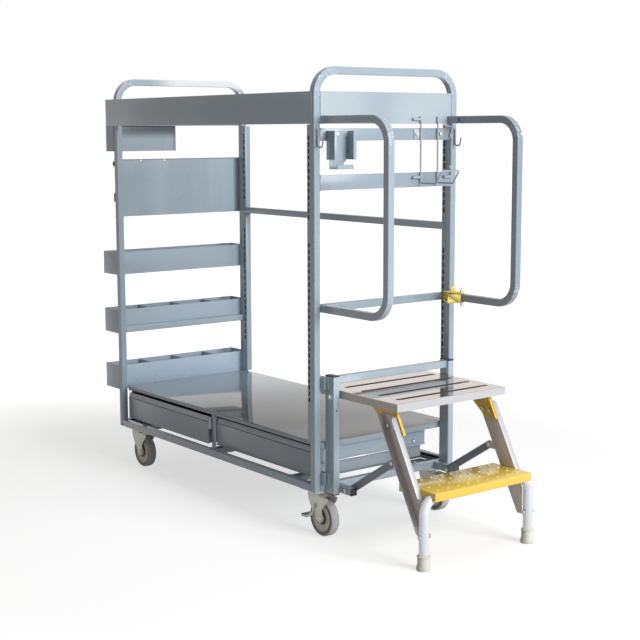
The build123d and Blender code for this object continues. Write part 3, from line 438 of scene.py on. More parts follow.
def makeTopped(name):
    # a sheet whose upper face is glossier than its folded edges and painted a tone of its own that stands in
    # for its reflections: painted reflection
    look = toppedLooks[name]
    mat = startFinish(name, specular=look["specular"])
    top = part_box(look["node"])[1].z
    lip = look["lip"] * mm
    upper = axisFade(mat, "Z", top - lip, top - 0.4 * lip)
    cloud = ease(mat, grain(mat, 2.2, 2.0, look["stretch"]), 0.25, 0.75, soft=True)
    paintedReflection = tint(mat, cloud, look["shade"], look["tone"])
    # zones along the deck in other tones: painted reflections and light
    for reach, tone in look["reflectionZones"]:
        paintedReflection = tint(mat, footFade(mat, "X", *reach), paintedReflection, tone)
    edge = look["sideTone"]
    # edge faces towards the ladder's end take the lighter front tone: painted light
    if "front" in look:
        edge = tint(mat, litLadderSide(mat), edge, look["front"])
    wire(mat, tint(mat, upper, edge, paintedReflection), socket(mat, "Base Color"))
    wire(mat, ease(mat, upper, 0.0, 1.0, look["sideMetal"], look["metal"]), socket(mat, "Metallic"))
    gloss = ease(mat, grain(mat, 3.0, 2.0, look["stretch"]), 0.3, 0.7, *look["rough"], soft=True)
    dull = ease(mat, upper, 0.0, 1.0, look["sideRough"], 0.0)
    wire(mat, combine(mat, "ADD", gloss, dull), socket(mat, "Roughness"))
    if look["relief"]:
        relief(mat, grain(mat, 7.0, 1.0, look["stretch"]), look["relief"], 0.0006)
    return mat


# bends of the hoops and handrails, where pale marks are painted highlights
hoopBends = [at(x, y, 1510) for x in (12, cartLong - 12) for y in (35, cartWide - 35)]
railBends = [at(cartLong + x, y, z) for x, y, z in
             ((334, 37, 1318), (300, 37, 1352), (322, 588, 1340), (330, 588, 800))]
variants = {  # paint, spots of painted highlight and their radius, patches
    "hoopPaint": ("framePaint", hoopBends, 0.085, []),
    # hoop with its top bar painted lighter: painted highlight
    "hoopSheenPaint": ("framePaint", hoopBends, 0.085, [(paintedBarSheen, (0.79, 0.82, 0.85))]),
    "railPaint": ("framePaint", railBends, 0.045, []),
    "rearRailPaint": ("rearRail", railBends, 0.045, []),
    "drawerFront": ("drawerPaint", [], 0, [(drawerLipLight, (0.375, 0.42, 0.468))]),
    "boardPaint": ("panelPaint", [], 0,
                   [(boardStreaks, (0.43, 0.5, 0.565)), (boardEdgeShade, (0.15, 0.176, 0.2))]),
    "fasciaPaint": ("panelPaint", [], 0, [(fasciaCloud, (0.3, 0.355, 0.41))]),
    "endPaint": ("panelPaint", [], 0, [(endPanelHighlight, (0.455, 0.515, 0.56))]),
    "boxPaint": ("panelPaint", [], 0, [(boxEndShade, (0.215, 0.245, 0.28)), (boxTopShade, (0.07, 0.082, 0.096))]),
}
finishes = {name: makePaint(name) for name in paintLooks}
finishes.update({title: makePaint(name, title, *rest) for title, (name, *rest) in variants.items()})
for looks, make in ((toppedLooks, makeTopped), (metalLooks, makeMetal), (mouldLooks, makeMould)):
    finishes.update({name: make(name) for name in looks})
slotFinish = {"blue_grey_paint": "panelPaint", "yellow_paint": "yellowPaint",
              "bare_aluminium": "platformMetal", "zinc_plate": "zincPlate", "black_plastic": "capBlack",
              "beige_rubber": "bootRubber", "hub_plastic": "hubCream", "grey_tread": "treadGrey"}
finishNodes = {"hoopSheenPaint": ["left_hoop"], "hoopPaint": ["right_hoop"], "railPaint": ["front_handrail"],
               "rearRailPaint": ["rear_handrail", "rail_stub"], "kneePaint": ["knee_bar"],
               "framePaint": ["base_frame", "cross_tubes", "ladder_cross_bar"], "strapPaint": ["end_straps"],
               "ladderPaint": ["ladder_posts"], "bracePaint": ["ladder_braces"], "deckGloss": ["deck_panel"],
               "wirePaint": ["wire_rack"], "darkPaint": ["j_hooks"], "clipGrey": ["board_clips"],
               "binPaint": ["bin_upper", "bin_middle", "bin_dividers"], "lowBinPaint": ["bin_lower"],
               "boardPaint": ["back_board"], "fasciaPaint": ["front_fascia"], "endPaint": ["end_panels"],
               "boxPaint": ["document_box"], "drawerFront": ["drawer_left", "drawer_right"],
               "tubeMetal": ["foot_tube"], "forkZinc": ["fork_" + spot for spot in corners]}
nodeFinish = {node: name for name, group in finishNodes.items() for node in group}
print("finishes made:", len(finishes))


# CAD nodes: merged, edges eased, shaded smooth up to an angle

edgeRounds = {"step": 2.0, "ladder_braces": 1.0, "deck_panel": 0.9, "foot_boots": 0.8, "end_caps": 1.0,
              "post_spacers": 0.9, "bolts": 0.7, "caster_plates": 0.8, "front_fascia": 0.6, "end_panels": 0.6}
plainRound = 0.45
bends = {"smooth": 38, "bevel": 42, "merge": 0.02}


def newTree(name, inputs):
    tree = bpy.data.node_groups.new(name, "GeometryNodeTree")
    for title, kind in inputs.items():
        tree.interface.new_socket(title, in_out="INPUT", socket_type="NodeSocket" + kind)
    tree.interface.new_socket("Geometry", in_out="OUTPUT", socket_type="NodeSocketGeometry")
    add = tree.nodes.new
    link = tree.links.new

    def chain(source, kind):
        # new node whose first input comes from source
        node = add(kind)
        link(source, node.inputs[0])
        return node
    return tree, add, link, chain


def smoothTree():
    tree, add, link, chain = newTree("smoothByAngle", {"Geometry": "Geometry"})
    clear = chain(add("NodeGroupInput").outputs[0], "GeometryNodeRemoveAttribute")
    clear.inputs["Name"].default_value = "custom_normal"
    faces = chain(clear.outputs[0], "GeometryNodeSetShadeSmooth")
    faces.domain = "FACE"
    edges = chain(faces.outputs[0], "GeometryNodeSetShadeSmooth")
    edges.domain = "EDGE"
    edges.inputs["Shade Smooth"].default_value = False
    sharp = chain(add("GeometryNodeInputMeshEdgeAngle").outputs["Unsigned Angle"], "FunctionNodeCompare")
    sharp.operation = "GREATER_THAN"
    sharp.inputs[1].default_value = math.radians(bends["smooth"])
    link(sharp.outputs[0], edges.inputs["Selection"])
    chain(edges.outputs[0], "NodeGroupOutput")
    return tree


smoothByAngle = smoothTree()


def easeEdges(obj, width):
    weld = obj.modifiers.new("merge", "WELD")
    weld.merge_threshold = bends["merge"] * mm
    bevel = obj.modifiers.new("easedEdges", "BEVEL")
    bevel.width = width * mm
    bevel.segments = 2
    bevel.limit_method = "ANGLE"
    bevel.angle_limit = math.radians(bends["bevel"])
    shade = obj.modifiers.new("shade", "NODES")
    shade.node_group = smoothByAngle


for name, obj in nodes.items():
    obj.data.materials.clear()
    obj.data.materials.append(finishes[nodeFinish.get(name, slotFinish[nodeSlots[name]])])
    easeEdges(obj, edgeRounds.get(name, plainRound))
print("CAD nodes dressed")


# helpers for added pieces

def settle(obj, body):
    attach(obj, body)


def meshFrom(name, bm):
    bmesh.ops.recalc_face_normals(bm, faces=bm.faces)
    mesh = bpy.data.meshes.new(name)
    bm.to_mesh(mesh)
    bm.free()
    return mesh


def newPiece(name, bm, finish, slot, body="cart", smooth=False, rounded=0.0):
    mesh = meshFrom(name, bm)
    for face in mesh.polygons:
        face.use_smooth = smooth
    mesh.materials.append(finishes[finish])
    obj = addObject(name, mesh)
    if rounded:
        easeEdges(obj, rounded)
    settle(obj, body)
    return obj


def joinLoops(bm, first, second):
    count = len(first)
    for k in range(count):
        bm.faces.new((first[k], first[(k + 1) % count], second[(k + 1) % count], second[k]))


def joinRows(bm, rows):
    for first, second in zip(rows, rows[1:]):
        joinLoops(bm, first, second)


def closeLoops(bm, first, second):
    joinLoops(bm, first, second)
    bm.faces.new(first)
    bm.faces.new(list(reversed(second)))


def extruded(bm, outline, axis, start, stop):
    # closed sheet or bar: an outline in millimetres from the front foot, drawn out along an axis
    def spot(s, a, b):
        return at(*{"X": (s, a, b), "Y": (a, s, b), "Z": (a, b, s)}[axis])
    closeLoops(bm, *[[bm.verts.new(spot(s, a, b)) for a, b in outline] for s in (start, stop)])


def sheetPiece(name, sheets, finish, slot, body="cart", **shaping):
    # piece made of extruded outlines
    bm = bmesh.new()
    for sheet in sheets:
        extruded(bm, *sheet)
    return newPiece(name, bm, finish, slot, body, **shaping)


def bothSides(bm, outline, y0, y1):
    # the same sheet near the front and, mirrored, near the back
    extruded(bm, outline, "Y", y0, y1)
    extruded(bm, outline, "Y", cartWide - y1, cartWide - y0)


def turned(bm, profile, place, axis, count=48):
    # ring of faces from a closed (radius, height) outline turned about an axis through place
    toAxis = Vector((0, 0, 1)).rotation_difference(Vector(axis)).to_matrix()
    rows = []
    for i in range(count):
        spin = toAxis @ Matrix.Rotation(2 * math.pi * i / count, 3, "Z")
        rows.append([bm.verts.new(Vector(place) + spin @ Vector((r * mm, 0, h * mm))) for r, h in profile])
    joinRows(bm, rows + rows[:1])


def ring(bm, sides, z, radius):
    turns = [2 * math.pi * k / sides for k in range(sides)]
    return [bm.verts.new((radius * mm * math.cos(t), radius * mm * math.sin(t), z * mm)) for t in turns]


def stack(bm, sides, levels):
    # closed prism through (height, radius) levels, bottom to top
    rows = [ring(bm, sides, z, r) for z, r in levels]
    joinRows(bm, rows)
    bm.faces.new(list(reversed(rows[0])))
    bm.faces.new(rows[-1])


def dome(radius, height, steps=4, sides=14):
    # closed low button standing on z = 0
    def build(bm):
        turns = [math.pi / 2 * i / steps for i in range(steps)]
        rows = [ring(bm, sides, height * math.sin(a), radius * math.cos(a)) for a in turns]
        joinRows(bm, rows)
        top = bm.verts.new((0, 0, height * mm))
        for k in range(sides):
            bm.faces.new((rows[-1][k], rows[-1][(k + 1) % sides], top))
        bm.faces.new(list(reversed(rows[0])))
    return build


def repeatTree():
    # points in, one turned and sized copy of the shape at each point
    tree, add, link, chain = newTree("repeatShape", {
        "Points": "Geometry", "Shape": "Object", "Finish": "Material", "Size low": "Float",
        "Size high": "Float", "Turn": "Vector", "Turn spread": "Vector", "Spacing": "Float", "Seed": "Int"})
    given = add("NodeGroupInput").outputs
    line = chain(given["Points"], "GeometryNodeMeshToCurve")
    spread = chain(line.outputs[0], "GeometryNodeResampleCurve")
    spread.mode = "LENGTH"
    link(given["Spacing"], spread.inputs["Length"])
    alone = chain(given["Points"], "GeometryNodeMeshToPoints")
    along = add("GeometryNodeSwitch")  # along lines where a spacing is given, else at the points
    along.input_type = "GEOMETRY"
    lined = chain(given["Spacing"], "FunctionNodeCompare")
    lined.operation = "GREATER_THAN"
    link(lined.outputs[0], along.inputs["Switch"])
    link(alone.outputs[0], along.inputs["False"])
    link(spread.outputs[0], along.inputs["True"])
    shape = chain(given["Shape"], "GeometryNodeObjectInfo")
    scale = add("FunctionNodeRandomValue")
    link(given["Size low"], scale.inputs[2])
    link(given["Size high"], scale.inputs[3])
    turn = add("FunctionNodeRandomValue")
    turn.data_type = "FLOAT_VECTOR"
    for i, kind in enumerate(("SUBTRACT", "ADD")):
        limit = add("ShaderNodeVectorMath")
        limit.operation = kind
        link(given["Turn"], limit.inputs[0])
        link(given["Turn spread"], limit.inputs[1])
        link(limit.outputs[0], turn.inputs[i])
    for node in (scale, turn):
        link(given["Seed"], node.inputs["Seed"])
    copies = chain(along.outputs[0], "GeometryNodeInstanceOnPoints")
    link(shape.outputs["Geometry"], copies.inputs["Instance"])
    link(turn.outputs[0], copies.inputs["Rotation"])
    link(scale.outputs[1], copies.inputs["Scale"])
    solid = chain(copies.outputs[0], "GeometryNodeRealizeInstances")
    smooth = chain(solid.outputs[0], "GeometryNodeSetShadeSmooth")
    paint = chain(smooth.outputs[0], "GeometryNodeSetMaterial")
    link(given["Finish"], paint.inputs["Material"])
    chain(paint.outputs[0], "NodeGroupOutput")
    return tree


repeater = repeatTree()


def repeat(name, build, points, finish, lines=(), spacing=0.0, sizes=(1.0, 1.0), turn=(0, 0, 0),
           turnSpread=(0, 0, 0), seed=1):
    # copies of a shape on the cart, at loose points or along lines of points a spacing apart
    bm = bmesh.new()
    build(bm)
    bmesh.ops.remove_doubles(bm, verts=bm.verts, dist=bends["merge"] * mm / 2)
    shape = addObject(name + "Shape", meshFrom(name + "Shape", bm))
    mesh = bpy.data.meshes.new(name)
    mesh.from_pydata([tuple(p) for p in points], list(lines), [])
    obj = addObject(name, mesh)
    rule = obj.modifiers.new("repeat", "NODES")
    rule.node_group = repeater
    ids = {item.name: item.identifier for item in repeater.interface.items_tree if item.in_out == "INPUT"}
    values = {"Shape": shape, "Finish": finishes[finish], "Size low": sizes[0], "Size high": sizes[1],
              "Turn": turn, "Turn spread": turnSpread, "Spacing": spacing, "Seed": seed}
    for key, value in values.items():
        rule[ids[key]] = value
    graph = bpy.context.evaluated_depsgraph_get()
    plain = bpy.data.meshes.new_from_object(obj.evaluated_get(graph))
    obj.modifiers.remove(rule)
    obj.data = plain
    plain.name = name
    settle(obj, "cart")
    bpy.data.objects.remove(shape)
    print(name, len(plain.polygons), "faces")


# weld beads where tubes and sheets meet

welds = {"radius": 2.3, "flat": 0.8, "spacing": 3.4, "sizes": (0.75, 1.25), "inside": 2.8, "base": (162, 183),
         "baseTop": 185, "baseCross": 156, "straps": ((1311, 1321), (1340, 1349), (1153, 1165), (1190, 1201)),
         "knee": (760, 781), "binTube": (542, 563), "midRail": (1001, 1022), "midRailTop": 1024,
         "spacers": ((508, 546), (187, 225)), "crossBar": (525, 546), "crossBarTop": 548,
         "handrails": (1365, 758), "railStub": (1367, 1388), "stubY": 575, "railY": (26, 49, 50),
         "spacerX": 20.5, "barX": (12, 33, 35), "armX": (2, 44, 46), "ladderY": (26, 42, 68, 68.2, 69)}


def weldLines():
    lines = []
    t = tubeSide
    top = welds["baseTop"]

    def bead(a, b):
        lines.append((at(*a), at(*b)))

    def upright(x, y, z0, z1):
        bead((x, y, z0), (x, y, z1))
    panelLow, panelHigh = [v.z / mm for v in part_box("end_panels")]
    for y in (t + 0.5, cartWide - t - 0.5):
        for x in (cartLong, 0):
            upright(x, y, panelLow + 3, panelHigh - 3)
        for ends in welds["straps"]:
            upright(cartLong - 0.5, y, *ends)
        for x in (cartLong, cartLong - t):
            upright(x, y, *welds["knee"])
        upright(t, y, *welds["binTube"])
        for x in (0, cartLong):
            upright(x, y, *welds["base"])
    for x in (t, cartLong - t):
        for y, sign in ((0, 1), (cartWide, -1)):
            upright(x, y, *welds["base"])
            bead((x, y + sign * 2, top), (x, y + sign * (t - 2), top))
        upright(x, cartWide - t, *welds["midRail"])
        bead((x, cartWide - t + 2, welds["midRailTop"]), (x, cartWide - 2, welds["midRailTop"]))
    for x in (welds["baseCross"], cartLong / 2, cartLong - welds["baseCross"]):
        for y in (t, cartWide - t):
            bead((x - t / 2 + 2, y, top), (x + t / 2 - 2, y, top))
            for side in (-1, 1):
                upright(x + side * t / 2, y, welds["base"][0] + 1, welds["base"][1])
    barBack, barFront, barFace = [cartLong + x for x in welds["barX"]]
    armBack, armFront, armFace = [cartLong + x for x in welds["armX"]]
    for flip in (False, True):
        spacerIn, spacerOut, bar, arm, armTop = [cartWide - y if flip else y for y in welds["ladderY"]]
        for ends in welds["spacers"]:
            for y in (spacerIn, spacerOut):
                upright(cartLong + welds["spacerX"], y, *ends)
        upright(barFace, bar, *welds["crossBar"])
        bead((barBack, bar, welds["crossBarTop"]), (barFront, bar, welds["crossBarTop"]))
        upright(armFace, arm, *welds["base"])
        bead((armBack, armTop, top), (armFront, armTop, top))
    near, far, face = welds["railY"]
    for z in welds["handrails"]:
        bead((cartLong, near, z + t), (cartLong, far, z + t))
        upright(cartLong, face, z + 2, z + t - 2)
    upright(cartLong, welds["stubY"], *welds["railStub"])
    return lines


def beadShape(bm):
    bmesh.ops.create_icosphere(bm, subdivisions=1, radius=welds["radius"] * mm)
    for v in bm.verts:
        v.co.z *= welds["flat"]


def weldAll():
    points = []
    lines = []
    near = at(0, welds["inside"], 0).y
    far = at(0, cartWide - welds["inside"], 0).y
    for ends in weldLines():
        lines.append((len(points), len(points) + 1))
        points += [(end.x, min(max(end.y, near), far), end.z) for end in ends]
    repeat("weldBeads", beadShape, points, "framePaint", lines, welds["spacing"] * mm,
           welds["sizes"], turnSpread=(1.5, 1.5, 1.5), seed=7)


weldAll()


# ladder: dimples and end cheeks of the step, folded platform with slot walls painted dark as shade, folded
# legs and gussets

tread = {"rows": 4, "columns": 9, "rowPitch": 41.0, "columnPitch": 43.0, "firstRow": 14.0, "radius": 5.4,
         "rise": 2.2, "sunk": 0.2}
slots = {"count": 4, "first": 10.0, "pitch": 86.0, "length": 398.0, "width": 20.0, "depth": 9.0, "shift": 8.0,
         "wall": (-0.8, 0.2), "under": 0.15}
tray = {"tail": 62.0, "sheet": 2.5, "round": 1.6}
sideRivet = {"x": 142.0, "below": 12.0, "radius": 5.0, "rise": 2.2}
cheek = {"back": 409.0, "front": 470.5, "low": 217.3, "high": 242.0, "sheet": 2.0, "inset": 101.0,
         "tube": 443.0, "notchWide": 16.8, "notchHigh": 18.6}


def dimpleStep():
    low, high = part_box("step")
    points = []
    for i in range(tread["rows"]):
        for k in range(tread["columns"]):
            x = low.x + (tread["firstRow"] + tread["rowPitch"] * i) * mm
            y = middle("step").y + (k - (tread["columns"] - 1) / 2) * tread["columnPitch"] * mm
            points.append((x, y, high.z - tread["sunk"] * mm))
    repeat("stepDimples", dome(tread["radius"], tread["rise"]), points, "dimpleYellow",
           sizes=(0.94, 1.06), seed=3)


def slotPath():
    # points round one long slot, each with the direction away from its middle line
    half = (slots["length"] - slots["width"]) / 2
    radius = slots["width"] / 2
    path = []
    for end, start in ((1, 0), (-1, math.pi)):
        for i in range(13):
            dx = math.cos(math.pi * i / 12 + start)
            dy = math.sin(math.pi * i / 12 + start)
            path.append((radius * dx, end * half + radius * dy, dx, dy))
    return path


def slotMiddles():
    y = fromFoot(middle("platform"))[1] + slots["shift"]
    return [(cartLong + slots["first"] + slots["pitch"] * i, y) for i in range(slots["count"])]


def linerShape(bm):
    # thin wall round one long slot, hung just under the upper face, dark: painted shade in the slot
    section = rect(*slots["wall"], -slots["under"], -slots["depth"])
    rows = [[bm.verts.new(((x + dx * out) * mm, (y + dy * out) * mm, up * mm)) for out, up in section]
            for x, y, dx, dy in slotPath()]
    joinRows(bm, rows + rows[:1])


def fillSheet(bm, loops):
    # flat sheet inside the first loop, open at the others
    edges = []
    for loop in loops:
        for a, b in zip(loop, loop[1:] + loop[:1]):
            edges.append(bm.edges.get((a, b)) or bm.edges.new((a, b)))
    bmesh.ops.triangle_fill(bm, use_beauty=True, use_dissolve=False, edges=edges)


def foldTray():
    # platform as one folded sheet with dead flat faces; its back runs on under the cross bar
    low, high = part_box("platform")
    x0, y0 = fromFoot(low)
    x1, y1 = fromFoot(high)
    bottom = low.z / mm
    top = high.z / mm
    bm = bmesh.new()

    def rim(inset, z):
        edge = rect(x0 - tray["tail"] + inset, x1 - inset, y0 + inset, y1 - inset)
        return [bm.verts.new(at(x, y, z)) for x, y in edge]

    def openings(z):
        return [[bm.verts.new(at(x + p[0], y + p[1], z)) for p in slotPath()] for x, y in slotMiddles()]
    r = tray["round"]
    sheet = tray["sheet"]
    outer = [rim(0, bottom), rim(0, top - r), rim(0.3 * r, top - 0.3 * r), rim(r, top)]
    inner = [rim(sheet, bottom), rim(sheet, top - sheet)]
    upper = openings(top)
    under = openings(top - sheet)
    joinRows(bm, outer)
    joinRows(bm, outer[:1] + inner)
    for pair in zip(upper, under):
        joinLoops(bm, *pair)
    fillSheet(bm, [outer[-1]] + upper)
    fillSheet(bm, [inner[-1]] + under)
    piece = newPiece("foldedTray", bm, "platformMetal", "bare_aluminium")
    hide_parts("platform")


def dressPlatform():
    low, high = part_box("platform")
    points = [at(x, y, high.z / mm) for x, y in slotMiddles()]
    repeat("slotWalls", linerShape, points, "slotDark")
    head = dome(sideRivet["radius"], sideRivet["rise"])
    x = at(cartLong + sideRivet["x"], 0, 0).x
    for name, sign, y in (("sideRivetNear", 1, low.y), ("sideRivetFar", -1, high.y)):
        repeat(name, head, [(x, y, high.z - sideRivet["below"] * mm)], "legMetal",
               turn=(sign * math.pi / 2, 0, 0))


def closeStep():
    # end cheeks of the step, notched over the foot tube
    outline = [(cheek["back"], cheek["high"]), (cheek["back"], cheek["low"])]
    outline += arc(cheek["tube"], cheek["low"], cheek["notchWide"], cheek["notchHigh"], 1, 0, 12)
    outline += [(cheek["front"], cheek["low"]), (cheek["front"], cheek["high"])]
    bm = bmesh.new()
    bothSides(bm, [(cartLong + x, z) for x, z in outline], cheek["inset"], cheek["inset"] + cheek["sheet"])
    newPiece("stepCheeks", bm, "yellowPaint", "yellow_paint")


leg = {"rake": 0.5452, "footBack": 417.0, "footLow": 90.0, "span": 68.3, "low": 98.0, "top": 456.0,
       "footFront": 435.0, "flangeLow": 214.0, "sheet": 2.5, "webIn": 98.5, "inset": 101.0,
       "flangeEdge": 79.5, "round": 9.0, "lugX": 279.0, "lugZ": 302.0, "lugHalf": 12.5, "edge": 0.7,
       "cutWide": 5.0, "cutHigh": 6.0}
gusset = {"top": 498.3, "low": 397.0, "sheet": 3.0, "flange": 28.0, "fold": 12.0, "proud": 4.0, "back": 152.0,
          "curve": [(166, 471), (207, 438)], "toe": 259.0}


def legBack(z):
    return cartLong + leg["footBack"] - (z - leg["footLow"]) * leg["rake"]


def legFront(z):
    return legBack(z) + leg["span"]


def flange(bm, edge, low, high, flip):
    # strip along a raked edge, its free corners rounded
    r = leg["round"]
    bend = arc(r, leg["flangeEdge"] + r, r, -r, 0.5, 1, 4)
    root = leg["inset"] - 0.3
    outline = [(low, root)] + [(low + z, y) for z, y in reversed(bend)]
    outline += [(high - z, y) for z, y in bend] + [(high, root)]
    closeLoops(bm, *[[bm.verts.new(at(edge(z) + shift, cartWide - y if flip else y, z)) for z, y in outline]
                     for shift in (0.0, leg["sheet"])])


def foldLegs():
    # open channels: a web, a flange down the whole rear edge, and one in front that stops above the foot tube
    bm = bmesh.new()
    low = leg["low"]
    top = leg["top"]
    front = cartLong + leg["footFront"]
    meet = leg["footLow"] + (legFront(leg["footLow"]) - front) / leg["rake"]
    wide = leg["cutWide"]
    cut = top - leg["cutHigh"]
    web = [(legBack(low), low), (front, low), (front, meet), (legFront(cut), cut),
           (legFront(top) - wide, top), (legBack(top) + wide, top), (legBack(cut), cut)]
    bothSides(bm, web, leg["webIn"], leg["inset"])
    h = leg["lugHalf"]
    lug = [(legBack(z) + 3, z) for z in (leg["lugZ"] - h, leg["lugZ"] + h)]
    lug += arc(cartLong + leg["lugX"], leg["lugZ"], h, h, 0.5, 1.5, 8)
    bothSides(bm, lug, leg["webIn"] + 0.2, leg["inset"] - 0.2)
    for flip in (False, True):
        flange(bm, legBack, low + 1, top - 5, flip)
        flange(bm, lambda z: legFront(z) - leg["sheet"], leg["flangeLow"], top - 5, flip)
    piece = newPiece("foldedLegs", bm, "legMetal", "bare_aluminium", rounded=leg["edge"])
    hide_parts("ladder_legs")


def foldGussets():
    # sheet along the leg's web with a narrow fold down its front edge and a flange under the platform
    top = gusset["top"]
    low = gusset["low"]
    sheet = gusset["sheet"]
    back = cartLong + gusset["back"]
    highFront, lowFront = [legFront(z) + gusset["proud"] for z in (top, low)]
    front = [(lowFront, low), (highFront, top)]
    curve = gusset["curve"] + [(gusset["toe"], low)]
    face = [(back, top)] + [(cartLong + x, z) for x, z in curve] + front
    fold = [(highFront - sheet, top), (lowFront - sheet, low)] + front
    under = rect(back, highFront, top - sheet, top)
    bm = bmesh.new()
    for outline, width in ((face, sheet), (fold, gusset["fold"]), (under, gusset["flange"])):
        bothSides(bm, outline, leg["inset"], leg["inset"] + width)
    piece = newPiece("foldedGussets", bm, "yellowPaint", "yellow_paint")
    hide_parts("leg_gussets")


dimpleStep()
foldTray()
dressPlatform()
closeStep()
foldLegs()
foldGussets()
print("ladder dressed")


# caster hardware: pad bolts, fork side plates, brake levers, tyre rings painted dark as shade, hub discs and
# caps

caster = {"boltX": 41.0, "boltY": 33.0, "trail": 35.0, "plateIn": 18.7, "plateOut": 22.3, "edge": 1.0,
          "plate": [(-62, 137.5), (36, 137.5), (41, 134), (41.5, 129), (36, 120), (25, 108.5), (14, 95),
                    (7, 84), (1, 74), (-14, 69), (-30, 75), (-48, 95), (-58, 113), (-62, 125)],
          "bolt": [(160.1, 6.6), (160.8, 7.4), (165.0, 7.4), (165.8, 6.4)]}
pedal = {"armIn": 22.8, "armOut": 25.8, "pinX": -27.0, "pinZ": 100.0, "pinRadius": 6.0, "pinOut": 28.6,
         "arm": [(-22, 104), (-27, 107), (-32, 104), (-40, 74), (-67, 58), (-96.5, 56), (-96.5, 50.2),
                 (-66, 50.2), (-34, 66)], "edge": 0.6,
         "pad": [(-96.5, 50.2), (-69, 50.2), (-69, 53.2), (-92, 53.2), (-95, 58.5), (-96.5, 58.5)]}
wheelRings = {
    # dark rings on the tyre's sides: painted shade
    "tyreBands": {
        "node": "tyre_", "finish": "bandDark", "slot": "grey_tread",
        "profiles": [[(47.0, 15.2), (47.8, 16.2), (51.0, 16.35), (51.6, 15.2)],
                     [(52.6, 15.2), (53.0, 16.35), (56.2, 16.3), (57.4, 15.2)]]},
    "hubDiscs": {
        "node": "hub_", "finish": "hubCream", "slot": "hub_plastic",
        "profiles": [[(23.0, 11.0), (23.0, 12.4), (33.0, 11.8), (34.6, 13.0), (37.2, 13.0), (38.8, 12.0),
                      (42.6, 13.4), (44.0, 14.3), (45.6, 14.3), (45.6, 12.4), (38.8, 10.4)]]},
    "hubCaps": {
        "node": "hub_", "finish": "capBlack", "slot": "black_plastic",
        "profiles": [[(14.8, 9.0), (14.8, 15.6), (17.0, 15.6), (22.6, 13.4), (24.0, 11.6), (24.0, 9.0)]]},
}


def padBolt(bm):
    stack(bm, 6, caster["bolt"])


def fromAxle(bm, spot, outline, start, stop):
    # flat shape drawn from a caster's axle
    x0, y0 = fromFoot(middle("hub_" + spot))
    extruded(bm, [(x0 + x, z) for x, z in outline], "Y", y0 + start, y0 + stop)


def ringWheel(spot):
    for name, look in wheelRings.items():
        bm = bmesh.new()
        for side in (-1, 1):
            for profile in look["profiles"]:
                turned(bm, [(r, side * h) for r, h in profile], middle(look["node"] + spot), (0, 1, 0))
        newPiece(name + "_" + spot, bm, look["finish"], look["slot"], "wheel_" + spot, smooth=True)


def forkPlates(spot):
    # pressed side plates in the thickness of the fork's legs
    bm = bmesh.new()
    for side in (-1, 1):
        fromAxle(bm, spot, caster["plate"], side * caster["plateIn"], side * caster["plateOut"])
    newPiece("forkPlates_" + spot, bm, "forkZinc", "zinc_plate", "caster_" + spot, rounded=caster["edge"])


def brakeLever(spot):
    # slim stamped lever in place of the plain one: two arms, a pad with a turned-up edge, pin heads
    x0, y0 = fromFoot(middle("hub_" + spot))
    root = pedal["armOut"] - 0.5
    r = pedal["pinRadius"]
    end = pedal["pinOut"]
    bm = bmesh.new()
    for side in (-1, 1):
        fromAxle(bm, spot, pedal["arm"], side * pedal["armIn"], side * pedal["armOut"])
        turned(bm, [(0.1, root), (r, root), (r, end - 1), (r - 1, end), (0.1, end)],
               at(x0 + pedal["pinX"], y0, pedal["pinZ"]), (0, side, 0), 20)
    fromAxle(bm, spot, pedal["pad"], -pedal["armOut"], pedal["armOut"])
    piece = newPiece("brakeLever_" + spot, bm, "forkZinc", "zinc_plate", "brake_" + spot,
                     rounded=pedal["edge"])
    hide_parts("pedal_" + spot)


def dressCasters():
    points = []
    for spot in corners:
        axle = middle("hub_" + spot)
        pivot = axle.x - caster["trail"] * mm
        points += [(pivot + sx * caster["boltX"] * mm, axle.y + sy * caster["boltY"] * mm, 0)
                   for sx in (-1, 1) for sy in (-1, 1)]
        ringWheel(spot)
        forkPlates(spot)
        if spot.endswith("right"):
            brakeLever(spot)
    repeat("padBolts", padBolt, points, "zincPlate")


dressCasters()
print("casters dressed")


# raised rings on the rubber boots, dark lined holes in the ladder posts

boot = {"inset": 23.0, "sleeve": [(19.4, 40.5), (21.0, 41.4), (21.4, 44.0), (20.9, 46.2), (19.4, 46.6)],
        "base": [(22.2, 5.0), (22.95, 5.8), (22.95, 9.2), (22.2, 10.0)]}
postHole = {"x": 46.0, "y": 55.0, "z": 437.0,
            "profile": [(0.05, -0.4), (3.2, -0.4), (3.2, 0.12), (2.7, 0.2), (0.05, 0.05)]}


def ringBoots():
    low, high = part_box("foot_boots")
    bm = bmesh.new()
    for y in (low.y + boot["inset"] * mm, high.y - boot["inset"] * mm):
        for profile in (boot["sleeve"], boot["base"]):
            turned(bm, profile, (middle("foot_boots").x, y, 0), (0, 0, 1))
    newPiece("bootRings", bm, "bootRubber", "beige_rubber", smooth=True)


def linePostHoles():
    bm = bmesh.new()
    for y in (postHole["y"], cartWide - postHole["y"]):
        turned(bm, postHole["profile"], at(cartLong + postHole["x"], y, postHole["z"]), (1, 0, 0), 20)
    newPiece("postHoles", bm, "capBlack", "black_plastic", smooth=True)


# fittings of the ladder end: bracket of the rail's lower pin, third wire of the rack, shelf lip

bracket = {"plate": 4.0, "tab": 24.0, "left": (60.0, 531.0), "right": (80.0, 573.0), "back": 0.2,
           "side": 566.0, "rear": 602.0, "pinX": 66.0, "pinY": 587.5, "pinRadius": 12.5,
           "tabStart": 0.22, "tabStop": 0.68, "edge": 1.2}
keeper = {"x": 6.0, "y": 590.0, "low": 1180.0, "high": 1361.0, "wire": 3.0, "sleeve": 5.2, "reach": 34.0,
          "sleeveIn": 4.0, "saddleIn": 36.0, "saddle": 7.0, "edge": 0.5}
shelfLip = {"x": 39.5, "sheet": 1.8, "y0": 63.0, "y1": 129.0, "low": 1220.0, "high": 1234.0}


